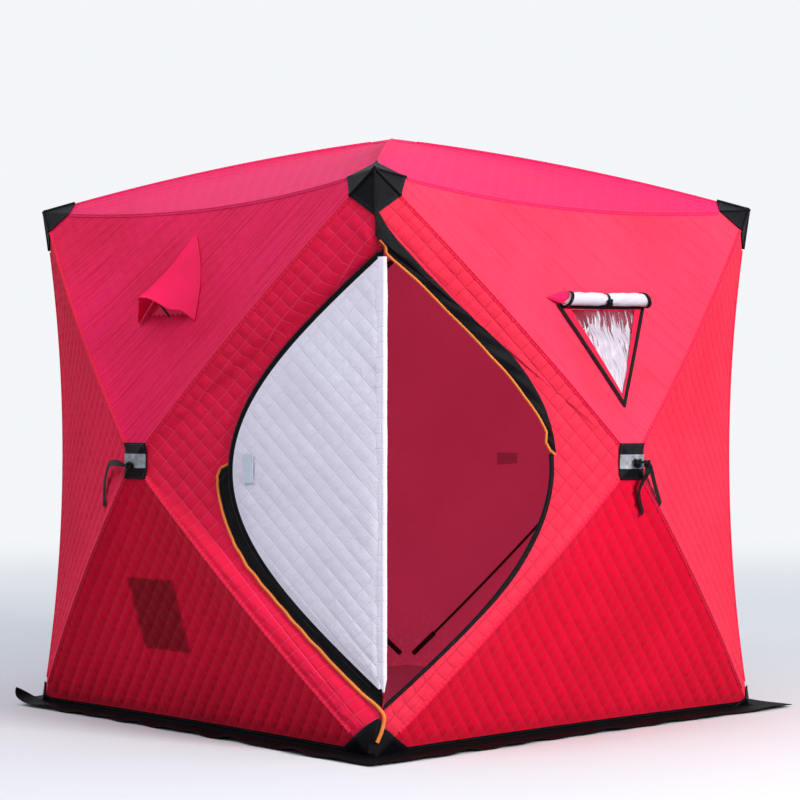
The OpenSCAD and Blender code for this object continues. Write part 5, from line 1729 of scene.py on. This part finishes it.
def skirt_grid(f, seed, cols=170):
    """Rows from the wall to the outer edge; mitred at the corners, with a loose, lifted tongue at the open one."""
    t = np.sin(np.linspace(-0.5, 0.5, cols) * math.pi) * 0.35 + np.linspace(-1, 1, cols) * 0.65
    out = NORMALS[f]
    hem = skin(f, 2, 1.0, t)
    along = unit(facet_ends(f, 2)[1] - facet_ends(f, 2)[0])
    rows = [skin(f, 2, 1 - up / FACET_LEN, t) + facet_out(f, 2) * 0.004 for up in (SKIRT_UP, 0.016, 0.008)]
    rows.append(hem + out * 0.007 + np.array([0, 0, 0.010]))
    corner = np.abs(t) ** 14
    open_end = (np.sign(t) == OPEN_ENDS.get(f, 0)) * corner
    for d in (0.018, 0.034, 0.055, 0.080, 0.104, 1.0):
        reach = np.full(cols, d)
        if d == 1.0:
            reach = SKIRT_W * (1 - 0.13 * corner) + 0.006 * (1 - corner) * wave(t * 2, seed, 5, 0.5, 2.0)
        stretch = (reach + 0.002) * np.sign(t) * np.abs(t) ** 12 * (1 - 0.9 * open_end)
        far = np.clip((reach - 0.015) / 0.11, 0, 1)
        ripple = np.clip(0.5 + 0.5 * wave(t * 2.2 + far * 0.2, seed + 50, 6, 0.6, 2.6), 0, 1.2)
        rows.append(hem + out * reach[:, None] + along * stretch[:, None])
        rows[-1][:, 2] = 0.0034 + 0.013 * ripple * far * (1 - corner) + 0.006 * corner * far
        if f == FRONT:
            rows[-1][:, 2] += TONGUE_LIFT * np.where(t > 0, t, 0) ** 20 * np.clip(reach / SKIRT_W * 1.25, 0, 1)
    return np.stack(rows)


for wall in WALLS:
    shape = add_sheet(Shape(), skirt_grid(wall, 30 + wall), NYLON_T, NORMALS[wall] + np.array([0, 0, 1.0]))
    piece = trim(f"{FACE_NAMES[wall]}_skirt_cloth", shape, SKIRT_BLACK_SHADED, "trim", f"{FACE_NAMES[wall]}_skirt")
skirt_lines = [skin(w, 2, 1 - 0.019 / FACET_LEN, np.linspace(-0.97, 0.97, 160)) + facet_out(w, 2) * 0.0047
               for w in WALLS]
beads("skirt_stitches", skirt_lines, SKIRT_STITCH, BLACK_THREAD)

# %% [markdown]
# ## Inside: a pocket, and the bare frame
# A pocket sewn inside the front wall shows through the cloth as a darker shape, painted as a shadow into the front
# wall's colour.
# A small patch is sewn on the lining of the back wall. The poles, hubs and sleeves are the CAD solids themselves; they
# only need finishes.


# %% Pocket and frame finishes
def pocket_grid(rows=12, cols=12):
    """Rows of the pocket over the square that its shadow also fills."""
    v, u = np.linspace(0, 1, rows)[:, None], np.linspace(0, 1, cols)[None, :]
    (left, low), (right, high) = POCKET[0], POCKET[2]
    r = (low + (high - low) * v) / FACET_LEN + 0 * u
    x = left + (right - left) * u + 0 * v
    sagging = 0.004 + 0.010 * np.sin(u * math.pi) * v * (1 - v) * 2
    return skin(FRONT, 2, r, x / HALF / r, 1.0) - facet_out(FRONT, 2) * sagging[..., None]


LINING_T = 0.0016
pocket = add_sheet(Shape(), pocket_grid(), LINING_T, -facet_out(FRONT, 2))
piece = trim("inside_pocket_cloth", pocket, BLACK, "trim", "inner_pocket")
r, t = np.meshgrid(np.linspace(0.43, 0.53, 8), np.linspace(-0.02, 0.09, 6), indexing="ij")
patch = skin(BACK, 1, r, t, 1.0) - facet_out(BACK, 1) * 0.004
piece = trim("inside_wall_patch", add_sheet(Shape(), patch, LINING_T, -facet_out(BACK, 1)), RED_LIT_LINING_PATCH, "lining")
for node, mat in (("pole_hubs", PLASTIC), ("roof_poles", POLE), ("wall_poles", POLE), ("pole_sleeves", PLASTIC)):
    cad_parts[node].data.materials.clear()
    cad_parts[node].data.materials.append(mat)
